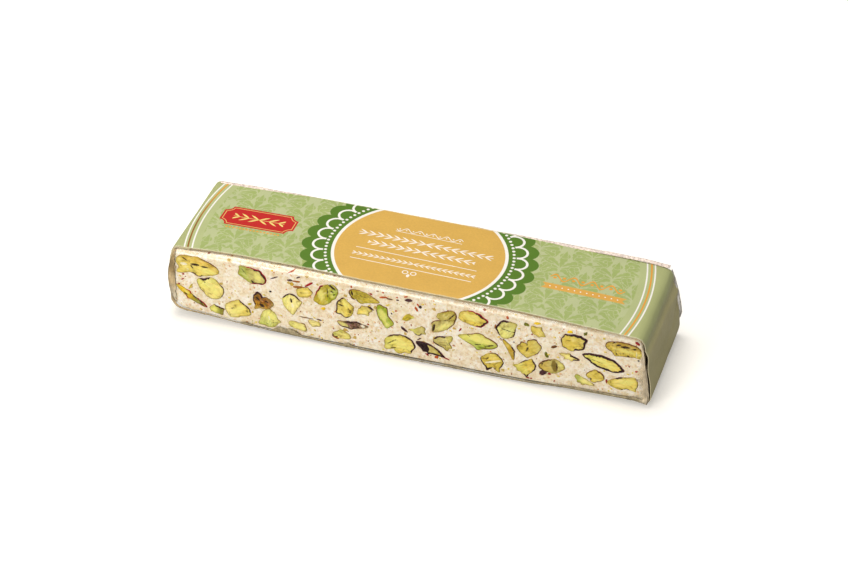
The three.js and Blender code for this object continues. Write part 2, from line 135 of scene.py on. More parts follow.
FRONT_LOOKS = [
    look("yellow", ("amber", 84, 0.75), ((36, 30, 0.3), (268, 34, 0.5)),
         cuts=((-79.0, 20.5, -76.2, 20.6, 0.75), (-75.2, 20.2, -72.8, 20.3, 0.5),
               (-79.1, 20.0, -78.4, 18.7, 0.5), (-82.5, 23.0, -80.4, 21.6, 0.4)),
         seams=((-82.8, 20.0, -80.8, 20.1, 0.9), (-80.6, 18.4, -80.2, 17.9, 0.5)),
         glows=((-75.0, 19.0, -70.5, 18.6, 1.6),),
         pull=((180, 1.0), (158, 0.8), (207, 3.6, 11), (0, 0.4), (90, 0.3), (272, 0.9, 26)),
         tint="umber"),
    look("primrose", ("lime", 120, 0.8), ((118, 22, 0.8), (250, 60, 0.24), (0, 40, 0.24)),
         cuts=((-74.2, 13.9, -74.0, 13.6, 0.5),), glows=((-71.0, 12.0, -70.0, 9.0, 2.2),),
         pull=((150, 1.0), (212, -0.5), (80, 1.0, 30), (10, 0.3))),
    look("lemon", ("moss", -30, 0.95), ((215, 32, 0.45), (95, 25, 0.35), (-28, 14, 0.4)),
         cuts=((-82.0, 7.6, -81.1, 6.9, 0.5), (-78.6, 7.1, -77.3, 6.3, 1.0),
               (-76.4, 5.7, -75.2, 3.8, 0.5)),
         glows=((-81.4, 8.6, -80.4, 7.6, 0.8),),
         pull=((145, 0.8, 9), (-32, 2.0, 9), (235, 0.5), (95, 0.5)), tint="wine"),
    look("lime", ("moss", -5, 0.9), ((66, 50, 0.42),), glows=((-70.9, 3.0, -70.4, 2.0, 1.2),),
         pull=((117, 0.6, 14), (19, 0.6, 12), (-37, 0.7, 14))),
    look("yellow", ("butter", 200, 0.9), ((38, 42, 0.4), (200, 25, 0.16)),
         cuts=((-64.4, 4.5, -63.2, 5.1, 0.2), (-65.1, 3.6, -64.6, 1.2, 0.2)),
         glows=((-63.5, 3.4, -59.6, 6.0, 2.0),),
         pull=((86, 0.6), (-14, 1.0), (166, 0.5), (234, 0.8), (40, -0.3), (-62, -0.5))),
    look("khaki", ("leaf", 200, 0.7), ((10, 66, 0.8), (-72, 24, 0.55), (95, 30, 0.3)),
         cuts=((-56.3, 18.4, -55.5, 17.6, 0.6), (-60.0, 22.8, -58.4, 20.8, 0.25)),
         glows=((-54.6, 21.6, -53.4, 19.2, 1.8),),
         pull=((146, 1.1, 12), (186, 0.7, 11), (248, 0.3), (-12, 0.6, 22), (-38, 0.6, 14),
               (40, 0.6), (275, 0.5, 25)), tint="wine"),
    look("brown", ("amber", 250, 0.8), ((150, 66, 0.6), (75, 12, 0.4)), blotch=0.9,
         cuts=((-53.2, 8.8, -52.0, 8.2, 1.1), (-54.6, 11.6, -53.6, 10.6, 0.7),
               (-51.4, 10.6, -50.4, 10.2, 0.6)),
         pull=((-4, 0.7), (232, 1.8, 12), (114, 1.1, 14), (80, -0.6, 9))),
    look("pale_green", ("leaf", 250, 0.45),
         cuts=((-52.2, 1.4, -50.4, 1.1, 0.16), (-49.0, 1.7, -46.8, 2.4, 0.2)),
         seams=((-50.1, 4.6, -49.8, 2.9, 0.4),), glows=((-50.4, 5.6, -48.6, 4.0, 2.2),),
         pull=((216, 1.5, 14), (-8, 0.9, 10), (90, 0.3), (330, 0.2))),
    look("butter", ("lime", 170, 0.6), ((92, 60, 0.42),),
         cuts=((-41.7, 13.8, -41.4, 12.3, 0.55),), seams=((-41.3, 12.0, -40.9, 10.2, 0.5),),
         pull=((90, 0.3), (277, 1.0, 12), (17, 0.7, 12), (225, -0.2), (318, -0.3))),
    look("yellow", ("ochre", -60, 0.3), ((110, 50, 0.22),),
         pull=((60, 0.2), (220, 0.6, 20), (165, 0.4), (10, 0.3)), tint="umber"),
    look("olive", ("leaf", -10, 0.85), ((150, 44, 0.5),),
         cuts=((-27.7, 23.1, -25.2, 21.2, 0.7), (-28.2, 21.4, -27.9, 17.4, 0.35),
               (-26.9, 20.4, -26.0, 20.2, 0.5), (-25.9, 18.8, -25.4, 19.4, 0.4)),
         glows=((-30.6, 19.6, -30.2, 16.2, 1.8), (-26.4, 23.2, -25.2, 22.4, 0.7),
                (-26.0, 18.6, -26.6, 18.0, 0.9)),
         pull=((62, 0.9), (22, 0.4), (252, 0.3), (318, -0.4), (215, 1.0, 16), (125, 0.4, 12)),
         tint="wine"),
    look("butter", ("lime", 180, 0.6), glows=((-40.0, 3.0, -36.6, 2.0, 1.4),),
         pull=((200, 0.3), (27, 1.0, 20), (-28, 0.6, 14))),
    look("butter", ("gold", 80, 0.5),
         pull=((150, 0.6, 20), (30, 0.4, 20), (240, 0.5, 25), (-20, 0.3))),
    look("olive", ("gold", 0, 0.6), ((178, 30, 0.5),), blotch=0.45,
         cuts=((-19.2, 22.2, -18.9, 20.5, 0.6), (-18.4, 19.0, -16.8, 18.6, 0.3),
               (-17.4, 21.6, -13.6, 20.4, 0.16)),
         pull=((152, 0.3), (205, 0.5, 12), (-10, 1.3, 9), (263, 0.9, 30)), tint="umber"),
    look("yellow", ("gold", -30, 0.6), ((212, 84, 0.5), (112, 18, 0.4)),
         cuts=((-24.3, 15.6, -22.0, 15.1, 0.45), (-24.0, 16.6, -22.8, 17.2, 0.3),
               (-20.2, 13.2, -19.2, 12.6, 0.35)),
         glows=((-22.0, 17.0, -20.6, 15.4, 1.2),),
         pull=((98, 0.7, 14), (15, 0.6, 16), (219, 1.2, 16), (275, 0.4))),
    look("yellow", ("butter", 0, 0.5), ((150, 24, 0.2),),
         pull=((222, 1.0, 12), (9, 0.9, 14), (114, 0.5, 16), (-46, 0.8, 16)), tint="umber"),
    look("leaf", ("lime", -20, 0.3), ((48, 74, 0.24), (190, 60, 0.3)),
         glows=((-8.4, 16.4, -7.0, 12.4, 2.1), (-6.6, 11.6, -5.6, 10.6, 1.3)),
         pull=((-32, 0.9, 13), (-78, 1.2, 14), (76, 1.2), (120, 0.3), (12, -0.3, 10)),
         tint="umber"),
    look("mauve", ("bark", 0, 0.3), ((262, 74, 0.6), (80, 70, 0.5)), blotch=0.9,
         cuts=((-22.2, 8.2, -18.0, 8.4, 0.4), (-19.0, 6.9, -16.0, 7.3, 0.35),
               (-17.4, 8.8, -16.6, 7.0, 0.35), (-20.6, 7.6, -20.0, 6.4, 0.3)),
         seams=((-15.6, 8.7, -14.6, 7.7, 1.1),), glows=((-24.0, 7.9, -20.6, 6.9, 1.2),),
         pull=((172, 1.2, 9), (4, 1.8, 8), (45, 0.4, 8), (270, 0.4, 30), (100, -0.3, 10))),
    look("primrose", ("leaf", 130, 0.5), ((205, 20, 0.6),), glows=((-21.4, 2.6, -20.2, 1.6, 1.2),),
         pull=((201, 0.7, 10), (95, 0.6, 26), (-15, 0.6), (330, 0.3)), tint="umber"),
    look("yellow", ("lime", 180, 0.8), ((86, 66, 0.42), (-4, 30, 0.55)),
         cuts=((-6.0, 2.6, -2.7, 5.1, 0.35), (-4.6, 1.3, -2.9, 1.6, 0.35)),
         glows=((-3.6, 5.4, 2.4, 2.2, 2.6),),
         pull=((212, 1.5, 12), (232, -0.6, 9), (268, 0.8, 22), (-42, 0.9, 14), (-5, 0.5, 14))),
    look("khaki", ("lime", 200, 0.7), ((268, 50, 0.45),),
         pull=((72, 0.5, 14), (-21, 1.0, 14), (182, 2.0, 10))),
    look("khaki", ("olive", 0, 0.5), ((185, 62, 3.0), (60, 80, 0.6), (-40, 70, 0.65)),
         cuts=((6.4, 5.4, 7.4, 4.2, 0.5),),
         pull=((-25, 1.6, 6), (160, 0.8, 12), (214, 0.8, 16), (256, 0.8, 12))),
    look("khaki", ("olive", 80, 0.6), ((0, 52, 0.42), (80, 20, 0.25), (190, 14, 0.3)),
         blotch=0.25,
         cuts=((18.8, 21.4, 16.0, 17.8, 0.35), (16.0, 17.8, 14.0, 17.0, 0.2),
               (11.2, 14.8, 10.6, 11.8, 0.7), (13.6, 21.4, 13.0, 20.4, 0.6)),
         glows=((16.4, 16.0, 13.2, 13.4, 1.8),),
         pull=((60, 0.4), (250, 0.2), (234, 0.9, 10), (200, 0.9, 9), (170, -1.7, 10),
               (128, 0.4, 10), (45, 0.3)), tint="umber"),
    look("khaki", ("lime", 10, 0.5), ((120, 50, 0.55), (232, 46, 0.55)), blotch=0.3,
         cuts=((15.4, 8.6, 16.4, 6.8, 0.14),),
         pull=((44, 1.3, 15), (-34, 1.0, 12), (-66, 1.5, 14), (-2, -0.6, 12))),
    look("gold", ("yellow", 180, 0.7), ((2, 66, 0.85), (88, 32, 0.3), (-110, 20, 0.2)),
         glows=((22.4, 21.4, 26.6, 20.0, 1.8),),
         pull=((45, 0.3), (0, 0.8, 12), (-44, 0.5, 14), (200, 0.6, 20), (95, 0.3, 20)),
         tint="wine"),
    look("lime", ("leaf", -80, 0.9), ((90, 60, 0.26), (-10, 40, 0.3), (250, 60, 0.26)),
         cuts=((25.9, 9.7, 28.0, 10.1, 0.35), (29.6, 9.6, 32.7, 10.9, 0.45),
               (22.6, 14.0, 24.0, 12.6, 0.25), (27.6, 8.6, 30.0, 8.9, 0.3)),
         glows=((24.4, 12.9, 30.6, 11.8, 2.6),),
         pull=((262, 0.9, 16), (173, 0.9, 9), (88, 0.8, 34), (0, 0.9, 14), (280, 0.5, 20)),
         tint="umber"),
    look("pale_green", ("khaki", 90, 0.6), ((158, 80, 0.7), (-25, 40, 0.35)),
         cuts=((35.4, 18.7, 38.3, 18.1, 0.3), (38.3, 18.1, 40.2, 18.0, 0.2)),
         glows=((35.8, 17.4, 37.0, 15.8, 1.6),),
         pull=((38, 1.1, 14), (258, 0.6), (-42, 0.4), (180, 0.5))),
    look("ochre", ("gold", 120, 0.6), ((5, 66, 0.45),),
         pull=((126, 1.8, 12), (-73, 0.9, 10), (-6, 0.4))),
    look("gold", ("khaki", 20, 0.6), ((200, 66, 0.28), (10, 60, 0.28), (80, 30, 0.3)),
         cuts=((44.9, 13.0, 44.4, 11.2, 0.5), (44.5, 14.6, 44.6, 13.6, 0.3)),
         pull=((66, 0.9, 14), (148, 0.8, 12), (121, -0.9, 9), (185, 0.7), (260, 1.0),
               (18, 0.5)), tint="umber"),
    look("yellow", ("gold", 170, 0.5),
         pull=((56, 0.9, 14), (-28, 0.9, 12), (-75, 0.4, 14), (135, 0.4))),
    look("gold", ("yellow", 90, 0.5), ((212, 46, 0.6), (50, 60, 0.26), (-20, 24, 0.4)),
         cuts=((31.2, 0.9, 33.8, 1.1, 0.5), (31.0, 5.2, 30.4, 4.6, 0.4)),
         seams=((30.1, 2.9, 35.2, 4.8, 0.6), (31.8, 0.1, 33.4, 0.3, 0.6)),
         pull=((170, 0.6, 16), (245, 1.2, 10), (-58, 1.5, 10), (275, -0.3, 12), (90, 0.5, 30))),
    look("gold", ("lime", 200, 0.7), ((15, 44, 0.45), (115, 36, 0.24), (268, 16, 0.5)),
         glows=((44.4, 3.6, 45.2, 1.2, 0.9),),
         pull=((180, 1.9, 9), (66, 0.9, 12), (275, 1.2, 12), (228, -0.9, 14), (-30, -0.3, 12))),
    look("khaki", ("ochre", 190, 0.6), ((160, 66, 0.42), (220, 26, 0.5)),
         cuts=((55.3, 8.6, 55.6, 5.6, 0.4), (50.4, 7.6, 50.0, 6.0, 0.4)),
         folds=((54.3, 9.1, 55.0, 5.2, 1.7),),
         glows=((56.6, 8.8, 57.4, 7.0, 1.4),),
         pull=((70, 0.4), (-60, 0.2), (190, 0.5), (0, 0.4)), tint="umber"),
    look("gold", ("khaki", 30, 0.4), ((56, 84, 0.85), (188, 46, 0.42), (-40, 46, 0.7)),
         pull=((24, 1.1, 12), (252, 0.6, 20), (175, 0.6, 20), (95, 0.3, 25), (-35, 0.4),
               (138, 0.8, 14), (52, 0.5, 12), (214, 0.6, 14))),
    look("primrose", ("butter", 180, 0.6), ((25, 60, 0.6),),
         pull=((172, 0.6, 10), (213, 1.4, 12), (100, 0.6, 30), (-6, 0.4, 8), (290, 0.6, 20))),
    look("yellow", ("lime", 160, 0.7), ((90, 96, 0.8), (270, 96, 0.78)),
         cuts=((66.2, 13.4, 71.4, 12.2, 0.14),), glows=((69.0, 14.0, 76.0, 11.4, 1.4),),
         pull=((26, 0.8, 20), (60, 0.35, 18), (98, 0.45, 25), (182, -0.8, 8), (166, 0.3, 6),
               (-12, 0.3, 6))),
    look("gold", ("brown", 88, 0.75), ((150, 60, 0.3), (30, 40, 0.4), (262, 60, 0.24)),
         blotch=0.5,
         cuts=((75.8, 20.9, 77.3, 21.3, 0.6), (77.7, 20.7, 80.2, 20.9, 0.75),
               (81.8, 20.4, 82.6, 20.8, 0.6), (83.4, 22.0, 84.6, 21.2, 0.8),
               (75.9, 17.8, 76.1, 16.9, 0.4), (79.8, 17.4, 80.6, 17.2, 0.5),
               (74.6, 21.6, 75.6, 22.2, 0.4)),
         seams=((82.9, 19.9, 83.0, 17.4, 0.25),),
         glows=((83.4, 18.8, 85.0, 18.4, 1.0), (76.6, 19.6, 82.0, 19.0, 0.9)),
         pull=((180, 0.7), (228, 1.1, 16), (-8, 0.7, 14), (22, 0.6, 12), (262, 0.3, 20),
               (-23, 1.5, 9), (160, 0.4, 12)),
         tint="umber"),
    look("gold", ("yellow", 20, 0.4), ((35, 42, 0.42), (170, 60, 0.22), (270, 40, 0.22)),
         cuts=((67.3, 5.0, 67.7, 4.5, 0.7),),
         pull=((180, 0.6, 24), (250, 0.5, 24), (100, 0.4, 20), (-10, 0.3)), tint="umber"),
    look("butter", ("leaf", 160, 0.7), glows=((64.6, 3.0, 67.4, 2.2, 0.8),),
         pull=((137, 0.9, 12), (210, 1.1), (262, 1.0, 24), (-15, 1.2, 9))),
    look("yellow", ("gold", -90, 0.5), ((128, 26, 0.5), (285, 36, 0.35)),
         cuts=((76.9, 3.3, 79.4, 2.9, 0.25), (80.0, 2.9, 83.4, 2.6, 0.35),
               (84.2, 5.8, 84.3, 4.4, 0.3)),
         glows=((78.4, 5.8, 82.4, 6.6, 1.8),),
         pull=((36, 0.8, 16), (49, 0.3, 14), (-32, 2.2, 13), (-8, 0.8, 12), (187, 0.8, 12),
               (255, 0.5, 24))),
]
BACK_KINDS = [
    look("yellow", ("gold", 60, 0.5), ((100, 50, 0.4),), pull=((30, 0.8, 12), (250, 0.6, 14))),
    look("lime", ("leaf", 200, 0.6), ((30, 60, 0.5),), pull=((150, 0.9, 12), (80, -0.5, 10)),
         tint="wine"),
    look("pale_green", ("leaf", -40, 0.6), ((160, 70, 0.4),), pull=((-20, 0.9, 12),)),
    look("gold", ("khaki", 20, 0.6), ((90, 90, 0.4), (270, 80, 0.4)), pull=((0, 0.8, 10),)),
    look("butter", ("primrose", 120, 0.7), ((250, 50, 0.25),), pull=((120, 0.7, 14),),
         tint="umber"),
    look("olive", ("leaf", 90, 0.5), ((0, 60, 0.6), (200, 30, 0.3)), pull=((200, 0.8, 12),)),
]

# Scraps too small to be kernels: colour, x, height, length, width and tilt.
FRONT_CRUMBS = [
    ("olive", 1.4, 15.5, 4.4, 2.2, 38), ("lime", 2.6, 15.8, 2.2, 1.2, 10),
    ("plum", 50.6, 3.4, 2.6, 2.3, 20), ("bark", 54.2, 15.3, 2.5, 1.0, 30),
    ("moss", 44.0, 22.4, 2.0, 1.5, -10), ("lemon", 47.8, 23.7, 2.5, 1.0, 10),
    ("moss", 51.6, 11.3, 2.5, 1.3, -60), ("lemon", 59.4, 22.8, 2.2, 1.2, 10),
    ("moss", 64.8, 23.2, 1.7, 1.0, 50), ("olive", 71.4, 22.7, 0.9, 0.7, 0),
    ("plum", 1.6, 22.9, 2.9, 1.2, 6), ("rust", 0.6, 24.2, 1.6, 0.6, 25),
    ("black", 5.8, 21.0, 1.2, 1.1, 0), ("rust", 5.0, 21.7, 1.4, 0.6, -50),
    ("rust", 4.5, 19.8, 2.2, 0.8, -62), ("rust", -7.6, 22.1, 3.2, 0.8, 14),
    ("bark", -5.3, 21.9, 2.4, 0.6, -5), ("rust", -41.7, 25.2, 2.6, 0.5, 30),
    ("plum", -38.9, 23.6, 1.7, 0.6, 32), ("wine", -34.9, 21.5, 4.4, 0.8, 38),
    ("plum", -47.8, 21.5, 3.3, 0.5, 28), ("plum", -42.0, 21.7, 2.2, 0.8, 5),
    ("brown", -39.6, 21.7, 2.8, 0.8, 4), ("ochre", -41.3, 20.2, 1.4, 1.4, 0),
    ("brown", -38.8, 19.5, 4.0, 0.9, 10), ("black", -49.4, 15.2, 0.9, 0.8, 0),
    ("lemon", -29.6, 12.3, 1.7, 1.2, 10), ("bark", -36.0, 6.9, 5.0, 0.4, 0),
    ("plum", -31.2, 7.1, 2.0, 0.6, -6), ("olive", -57.2, 8.0, 1.6, 1.0, 30),
    ("lemon", -56.2, 4.8, 0.7, 0.9, 0), ("wine", -82.2, 15.5, 1.0, 0.6, 10),
    ("wine", -82.5, 13.3, 1.3, 0.5, 34), ("wine", -84.0, 10.9, 0.9, 0.6, 20),
    ("wine", 83.4, 11.5, 0.9, 0.8, 0), ("black", 83.8, 16.2, 0.7, 0.6, 0),
    ("wine", 20.5, 14.8, 1.6, 0.6, 60), ("wine", 46.1, 18.7, 0.6, 0.6, 0),
    ("rust", 37.2, 23.7, 0.9, 1.5, 20), ("wine", 52.9, 3.3, 1.1, 0.9, 0),
    ("lemon", 34.3, 14.8, 1.0, 0.6, 20), ("lemon", 31.8, 16.0, 0.6, 0.5, 0),
    ("wine", 8.7, 1.3, 1.4, 0.7, -30), ("rust", 12.2, 1.0, 1.6, 1.2, 40),
    ("wine", 15.8, 1.1, 2.2, 0.5, -14), ("plum", 0.3, 10.0, 3.4, 1.0, -38),
    ("plum", -12.1, 16.4, 2.6, 0.75, -30), ("plum", 5.7, 7.3, 1.9, 0.5, 36),
    ("olive", -79.5, 10.8, 3.0, 0.6, 60), ("plum", -2.4, 22.1, 1.0, 0.6, -10),
    ("rust", -2.6, 23.2, 0.8, 0.6, 0), ("rust", -7.7, 24.1, 0.9, 0.6, 0),
    ("brown", -9.7, 24.3, 1.0, 0.4, 10), ("rust", -19.3, 24.0, 0.7, 1.0, 0),
    ("wine", -12.1, 22.5, 0.9, 0.7, -20), ("plum", -4.5, 15.9, 0.6, 0.6, 0),
    ("rust", -2.9, 17.4, 0.9, 0.6, 0), ("brown", -2.5, 12.7, 0.8, 0.5, 0),
    ("rust", -13.1, 9.3, 0.8, 0.7, 0), ("olive", 7.8, 20.3, 0.7, 0.6, 0),
    ("rust", 34.1, 3.6, 0.5, 0.4, 0), ("brown", 32.9, 19.0, 1.8, 0.5, 84),
    ("wine", 83.0, 23.2, 2.2, 0.8, -30), ("lemon", -48.6, 24.3, 0.8, 0.8, 0),
    ("wine", 45.4, -0.1, 1.4, 0.5, 0), ("rust", 46.6, -0.1, 0.8, 0.6, 0),
    ("wine", 73.2, 5.0, 0.6, 1.6, 10), ("brown", -25.2, 0.9, 2.4, 0.7, -20),
    ("plum", 35.0, 14.2, 0.6, 0.5, 0), ("plum", 39.8, 13.9, 0.5, 0.5, 0),
]
CRUMB_TINTS = ("moss", "lemon", "plum", "rust", "wine", "olive", "bark", "leaf")
BACK_CRUMB_COUNT = 46

# ---- small mesh and array helpers ----


@np.vectorize
def rough(x, y, seed=0.0):
    """Smooth noise between about -1 and 1, at one place on a plane or at arrays of them."""
    return noise.noise(Vector((x, y, seed)))


def smoothstep(low, high, value):
    """0 on low's side, 1 on high's side, and a smooth rise between them."""
    share = np.clip((value - low) / (high - low), 0, 1)
    return share * share * (3 - 2 * share)


def towards(tint, other, share):
    """A colour, or rows of colours, moved by a share towards another colour."""
    return tint + (np.array(other) - tint) * share


def bearings(arms):
    """The directions of arms from a middle, in degrees from +X towards +Z."""
    return np.degrees(np.arctan2(arms[:, 1], arms[:, 0]))


def turn_from(direction, angles):
    """How far angles lie from a direction, between -180 and 180 degrees."""
    return (angles - direction + 180) % 360 - 180


def cad_triangles(node):
    """The corners of the node's triangles in millimetres, by triangle, corner and axis."""
    mesh = frame["nodes"][node].data
    mesh.calc_loop_triangles()
    places = np.array([vertex.co for vertex in mesh.vertices]) / MM
    return places[np.array([triangle.vertices for triangle in mesh.loop_triangles])]


def face_outlines(node, side, turned):
    """Outlines in (x, z) of what faces front or back within `turned` of straight on (a cosine)."""
    corners = cad_triangles(node)
    normals = np.cross(corners[:, 1] - corners[:, 0], corners[:, 2] - corners[:, 0])
    straight = side * normals[:, 1] / np.linalg.norm(normals, axis=1)
    edges = set()
    for triangle in corners[straight > turned]:
        keys = [tuple(np.round(corner, 3).tolist()) for corner in triangle]
        for start, end in zip(keys, keys[1:] + keys[:1]):
            if (end, start) in edges:
                edges.remove((end, start))
            else:
                edges.add((start, end))
    return follow(dict(edges))


def follow(ends):
    """Closed loops of (x, z) from a dictionary of edges, start to end."""
    loops = []
    while ends:
        start, place = ends.popitem()
        loop = [start]
        while place != start and place in ends:
            loop.append(place)
            place = ends.pop(place)
        loops.append(np.array([(x, z) for x, _, z in loop]))
    return loops


def outer_outline(node, side, turned):
    """The widest of the node's outlines, which runs round the others."""
    return max(face_outlines(node, side, turned), key=lambda loop: np.ptp(loop[:, 0]))


def hull(points):
    """The outline drawn tight, past the kernels' pockets that break into it at its top."""
    order = geometry.convex_hull_2d([Vector(point) for point in points])
    tight = points[order]
    turn = tight[:, 0] * np.roll(tight[:, 1], -1) - tight[:, 1] * np.roll(tight[:, 0], -1)
    return tight if turn.sum() > 0 else tight[::-1]


def resampled(points, count, closed=True):
    """The same line as `count` points at even distances."""
    if closed:
        points = np.vstack([points, points[:1]])
    lengths = np.linalg.norm(np.diff(points, axis=0), axis=1)
    along = np.concatenate([[0], np.cumsum(lengths)])
    wanted = np.linspace(0, along[-1], count, endpoint=not closed)
    return np.stack([np.interp(wanted, along, points[:, axis]) for axis in range(2)], axis=1)


def smoothed(points, steps=6):
    """A closed line through all the points, with curves between them (Catmull-Rom)."""
    before, after = np.roll(points, 1, axis=0), np.roll(points, -1, axis=0)
    beyond = np.roll(points, -2, axis=0)
    curves = []
    for share in np.arange(steps) / steps:
        curves.append(0.5 * (
            2 * points
            + (after - before) * share
            + (2 * before - 5 * points + 4 * after - beyond) * share**2
            + (3 * points - before - 3 * after + beyond) * share**3
        ))
    return np.stack(curves, axis=1).reshape(-1, 2)


def grid_quads(rows, columns, first=0, closed=False):
    """Faces of a grid whose points run row by row; `closed` joins its last column to its first."""
    row, column = np.meshgrid(
        np.arange(rows - 1), np.arange(columns if closed else columns - 1), indexing="ij"
    )
    right = (column + 1) % columns
    corners = [row * columns + column, row * columns + right,
               (row + 1) * columns + right, (row + 1) * columns + column]
    return np.stack(corners, axis=-1).reshape(-1, 4) + first


def add_object(name, data):
    """A mesh, lamp or camera as an object in the scene."""
    thing = bpy.data.objects.new(name, data)
    bpy.context.scene.collection.objects.link(thing)
    return thing


def make_mesh(name, vertices, faces, marks=None):
    """A smooth-shaded object from millimetre places, faces, and named values at the vertices."""
    mesh = bpy.data.meshes.new(name)
    mesh.from_pydata((np.asarray(vertices) * MM).tolist(), [], [list(map(int, f)) for f in faces])
    kinds = {1: ("FLOAT", "value"), 3: ("FLOAT_VECTOR", "vector"), 4: ("FLOAT_COLOR", "color")}
    for mark, values in (marks or {}).items():
        values = np.asarray(values, dtype=np.float32)
        kind, field = kinds[1 if values.ndim == 1 else values.shape[1]]
        mesh.attributes.new(mark, kind, "POINT").data.foreach_set(field, values.ravel())
    mesh.polygons.foreach_set("use_smooth", [True] * len(mesh.polygons))
    mesh.update()
    return add_object(name, mesh)


def settle(piece, materials, nodes=()):
    """Gives a finished piece its materials and its place in the frame."""
    for material in materials:
        piece.data.materials.append(material)
    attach(piece, "root")
    if nodes:
        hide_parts(*nodes)


# ---- node helpers ----

SOFT_EDGE = 0.14  # millimetres over which the edge of a printed shape fades
FINE_EDGE = 0.1  # the same for thin shapes, and for where a row of ornament ends


class Wire:
    """A node's output. Arithmetic on wires adds Math nodes to their tree."""

    def __init__(self, tree, socket):
        self.tree = tree
        self.socket = socket

    def __add__(self, other):
        return sum_node(self.tree, "ADD", self, other)

    def __radd__(self, other):
        return sum_node(self.tree, "ADD", other, self)

    def __sub__(self, other):
        return sum_node(self.tree, "SUBTRACT", self, other)

    def __rsub__(self, other):
        return sum_node(self.tree, "SUBTRACT", other, self)

    def __mul__(self, other):
        return sum_node(self.tree, "MULTIPLY", self, other)

    __rmul__ = __mul__

    def __truediv__(self, other):
        return sum_node(self.tree, "DIVIDE", self, other)

    def __abs__(self):
        return sum_node(self.tree, "ABSOLUTE", self)

    def power(self, exponent):
        return sum_node(self.tree, "POWER", self, exponent)

    def sin(self):
        return sum_node(self.tree, "SINE", self)

    def cos(self):
        return sum_node(self.tree, "COSINE", self)

    def least(self, other):
        return sum_node(self.tree, "MINIMUM", self, other)

    def most(self, other):
        return sum_node(self.tree, "MAXIMUM", self, other)

    def fold(self, half_period):
        """Distance to the nearest whole period, between 0 and half a period."""
        return sum_node(self.tree, "PINGPONG", self, half_period)

    def repeat(self, period):
        return sum_node(self.tree, "FLOORED_MODULO", self, period)

    def clipped(self):
        return sum_node(self.tree, "ADD", self, 0.0, clamp=True)

    def mask(self, soft=SOFT_EDGE):
        """1 where the wire is above 0, 0 where it is below, with a soft step."""
        return sum_node(self.tree, "ADD", self / soft, 0.5, clamp=True)


def feed(tree, value, socket):
    if isinstance(value, Wire):
        tree.links.new(value.socket, socket)
    else:
        socket.default_value = value


def sum_node(tree, operation, *values, clamp=False):
    node = tree.nodes.new("ShaderNodeMath")
    node.operation = operation
    node.use_clamp = clamp
    for value, socket in zip(values, node.inputs):
        feed(tree, value, socket)
    return Wire(tree, node.outputs[0])


def distance(x, y):
    return (x * x + y * y).power(0.5)


def blend(tree, share, low, high):
    """The colour between two colours."""
    node = tree.nodes.new("ShaderNodeMix")
    node.data_type = "RGBA"
    feed(tree, share, node.inputs["Factor"])
    sockets = {s.identifier: s for s in node.inputs}
    feed(tree, low, sockets["A_Color"])
    feed(tree, high, sockets["B_Color"])
    return Wire(tree, next(s for s in node.outputs if s.identifier == "Result_Color"))


def brightened(tree, hue, gain):
    """A colour times a number that varies over the surface."""
    node = tree.nodes.new("ShaderNodeVectorMath")
    node.operation = "SCALE"
    feed(tree, hue if isinstance(hue, Wire) else hue[:3], node.inputs[0])
    feed(tree, gain, node.inputs["Scale"])
    return Wire(tree, node.outputs[0])


def split(tree, place):
    node = tree.nodes.new("ShaderNodeSeparateXYZ")
    feed(tree, place, node.inputs[0])
    return [Wire(tree, socket) for socket in node.outputs]


def joined(tree, x, y, z):
    node = tree.nodes.new("ShaderNodeCombineXYZ")
    for value, socket in zip((x, y, z), node.inputs):
        feed(tree, value, socket)
    return Wire(tree, node.outputs[0])


def scaled(tree, place, scale):
    node = tree.nodes.new("ShaderNodeVectorMath")
    node.operation = "MULTIPLY"
    feed(tree, place, node.inputs[0])
    node.inputs[1].default_value = scale
    return Wire(tree, node.outputs[0])


def attribute(tree, name, output="Fac"):
    node = tree.nodes.new("ShaderNodeAttribute")
    node.attribute_name = name
    return Wire(tree, node.outputs[output])


def body_place(tree):
    """The place on the piece in millimetres."""
    node = tree.nodes.new("ShaderNodeTexCoord")
    return scaled(tree, Wire(tree, node.outputs["Object"]), (1 / MM,) * 3)


def noise_wire(tree, place, scale, detail=2.0):
    node = tree.nodes.new("ShaderNodeTexNoise")
    feed(tree, place, node.inputs["Vector"])
    node.inputs["Scale"].default_value = scale
    node.inputs["Detail"].default_value = detail
    return Wire(tree, node.outputs["Fac"])


def new_group(name, inputs, outputs):
    """An empty shader node group; inputs and outputs map names to socket kinds."""
    group = bpy.data.node_groups.new(name, "ShaderNodeTree")
    for socket, kind in inputs.items():
        group.interface.new_socket(socket, in_out="INPUT", socket_type=f"NodeSocket{kind}")
    for socket, kind in outputs.items():
        group.interface.new_socket(socket, in_out="OUTPUT", socket_type=f"NodeSocket{kind}")
    entry = group.nodes.new("NodeGroupInput")
    leave = group.nodes.new("NodeGroupOutput")
    wires = {socket: Wire(group, entry.outputs[socket]) for socket in inputs}
    return group, wires, leave


def place_group(tree, group, output, **values):
    node = tree.nodes.new("ShaderNodeGroup")
    node.node_tree = group
    for name, value in values.items():
        feed(tree, value, node.inputs[name])
    return Wire(tree, node.outputs[output])


def make_mottle():
    """Cloudy change from Low to High over patches of the size 1 / Scale."""
    group, wires, leave = new_group(
        "mottle",
        {"Place": "Vector", "Scale": "Float", "Low": "Float", "High": "Float"},
        {"Value": "Float"},
    )
    cloud = group.nodes.new("ShaderNodeTexNoise")
    cloud.inputs["Detail"].default_value = 3.0
    feed(group, wires["Place"], cloud.inputs["Vector"])
    feed(group, wires["Scale"], cloud.inputs["Scale"])
    spread = ((Wire(group, cloud.outputs["Fac"]) - 0.5) * 1.8 + 0.5).clipped()
    value = wires["Low"] + spread * (wires["High"] - wires["Low"])
    feed(group, value, leave.inputs["Value"])
    return group


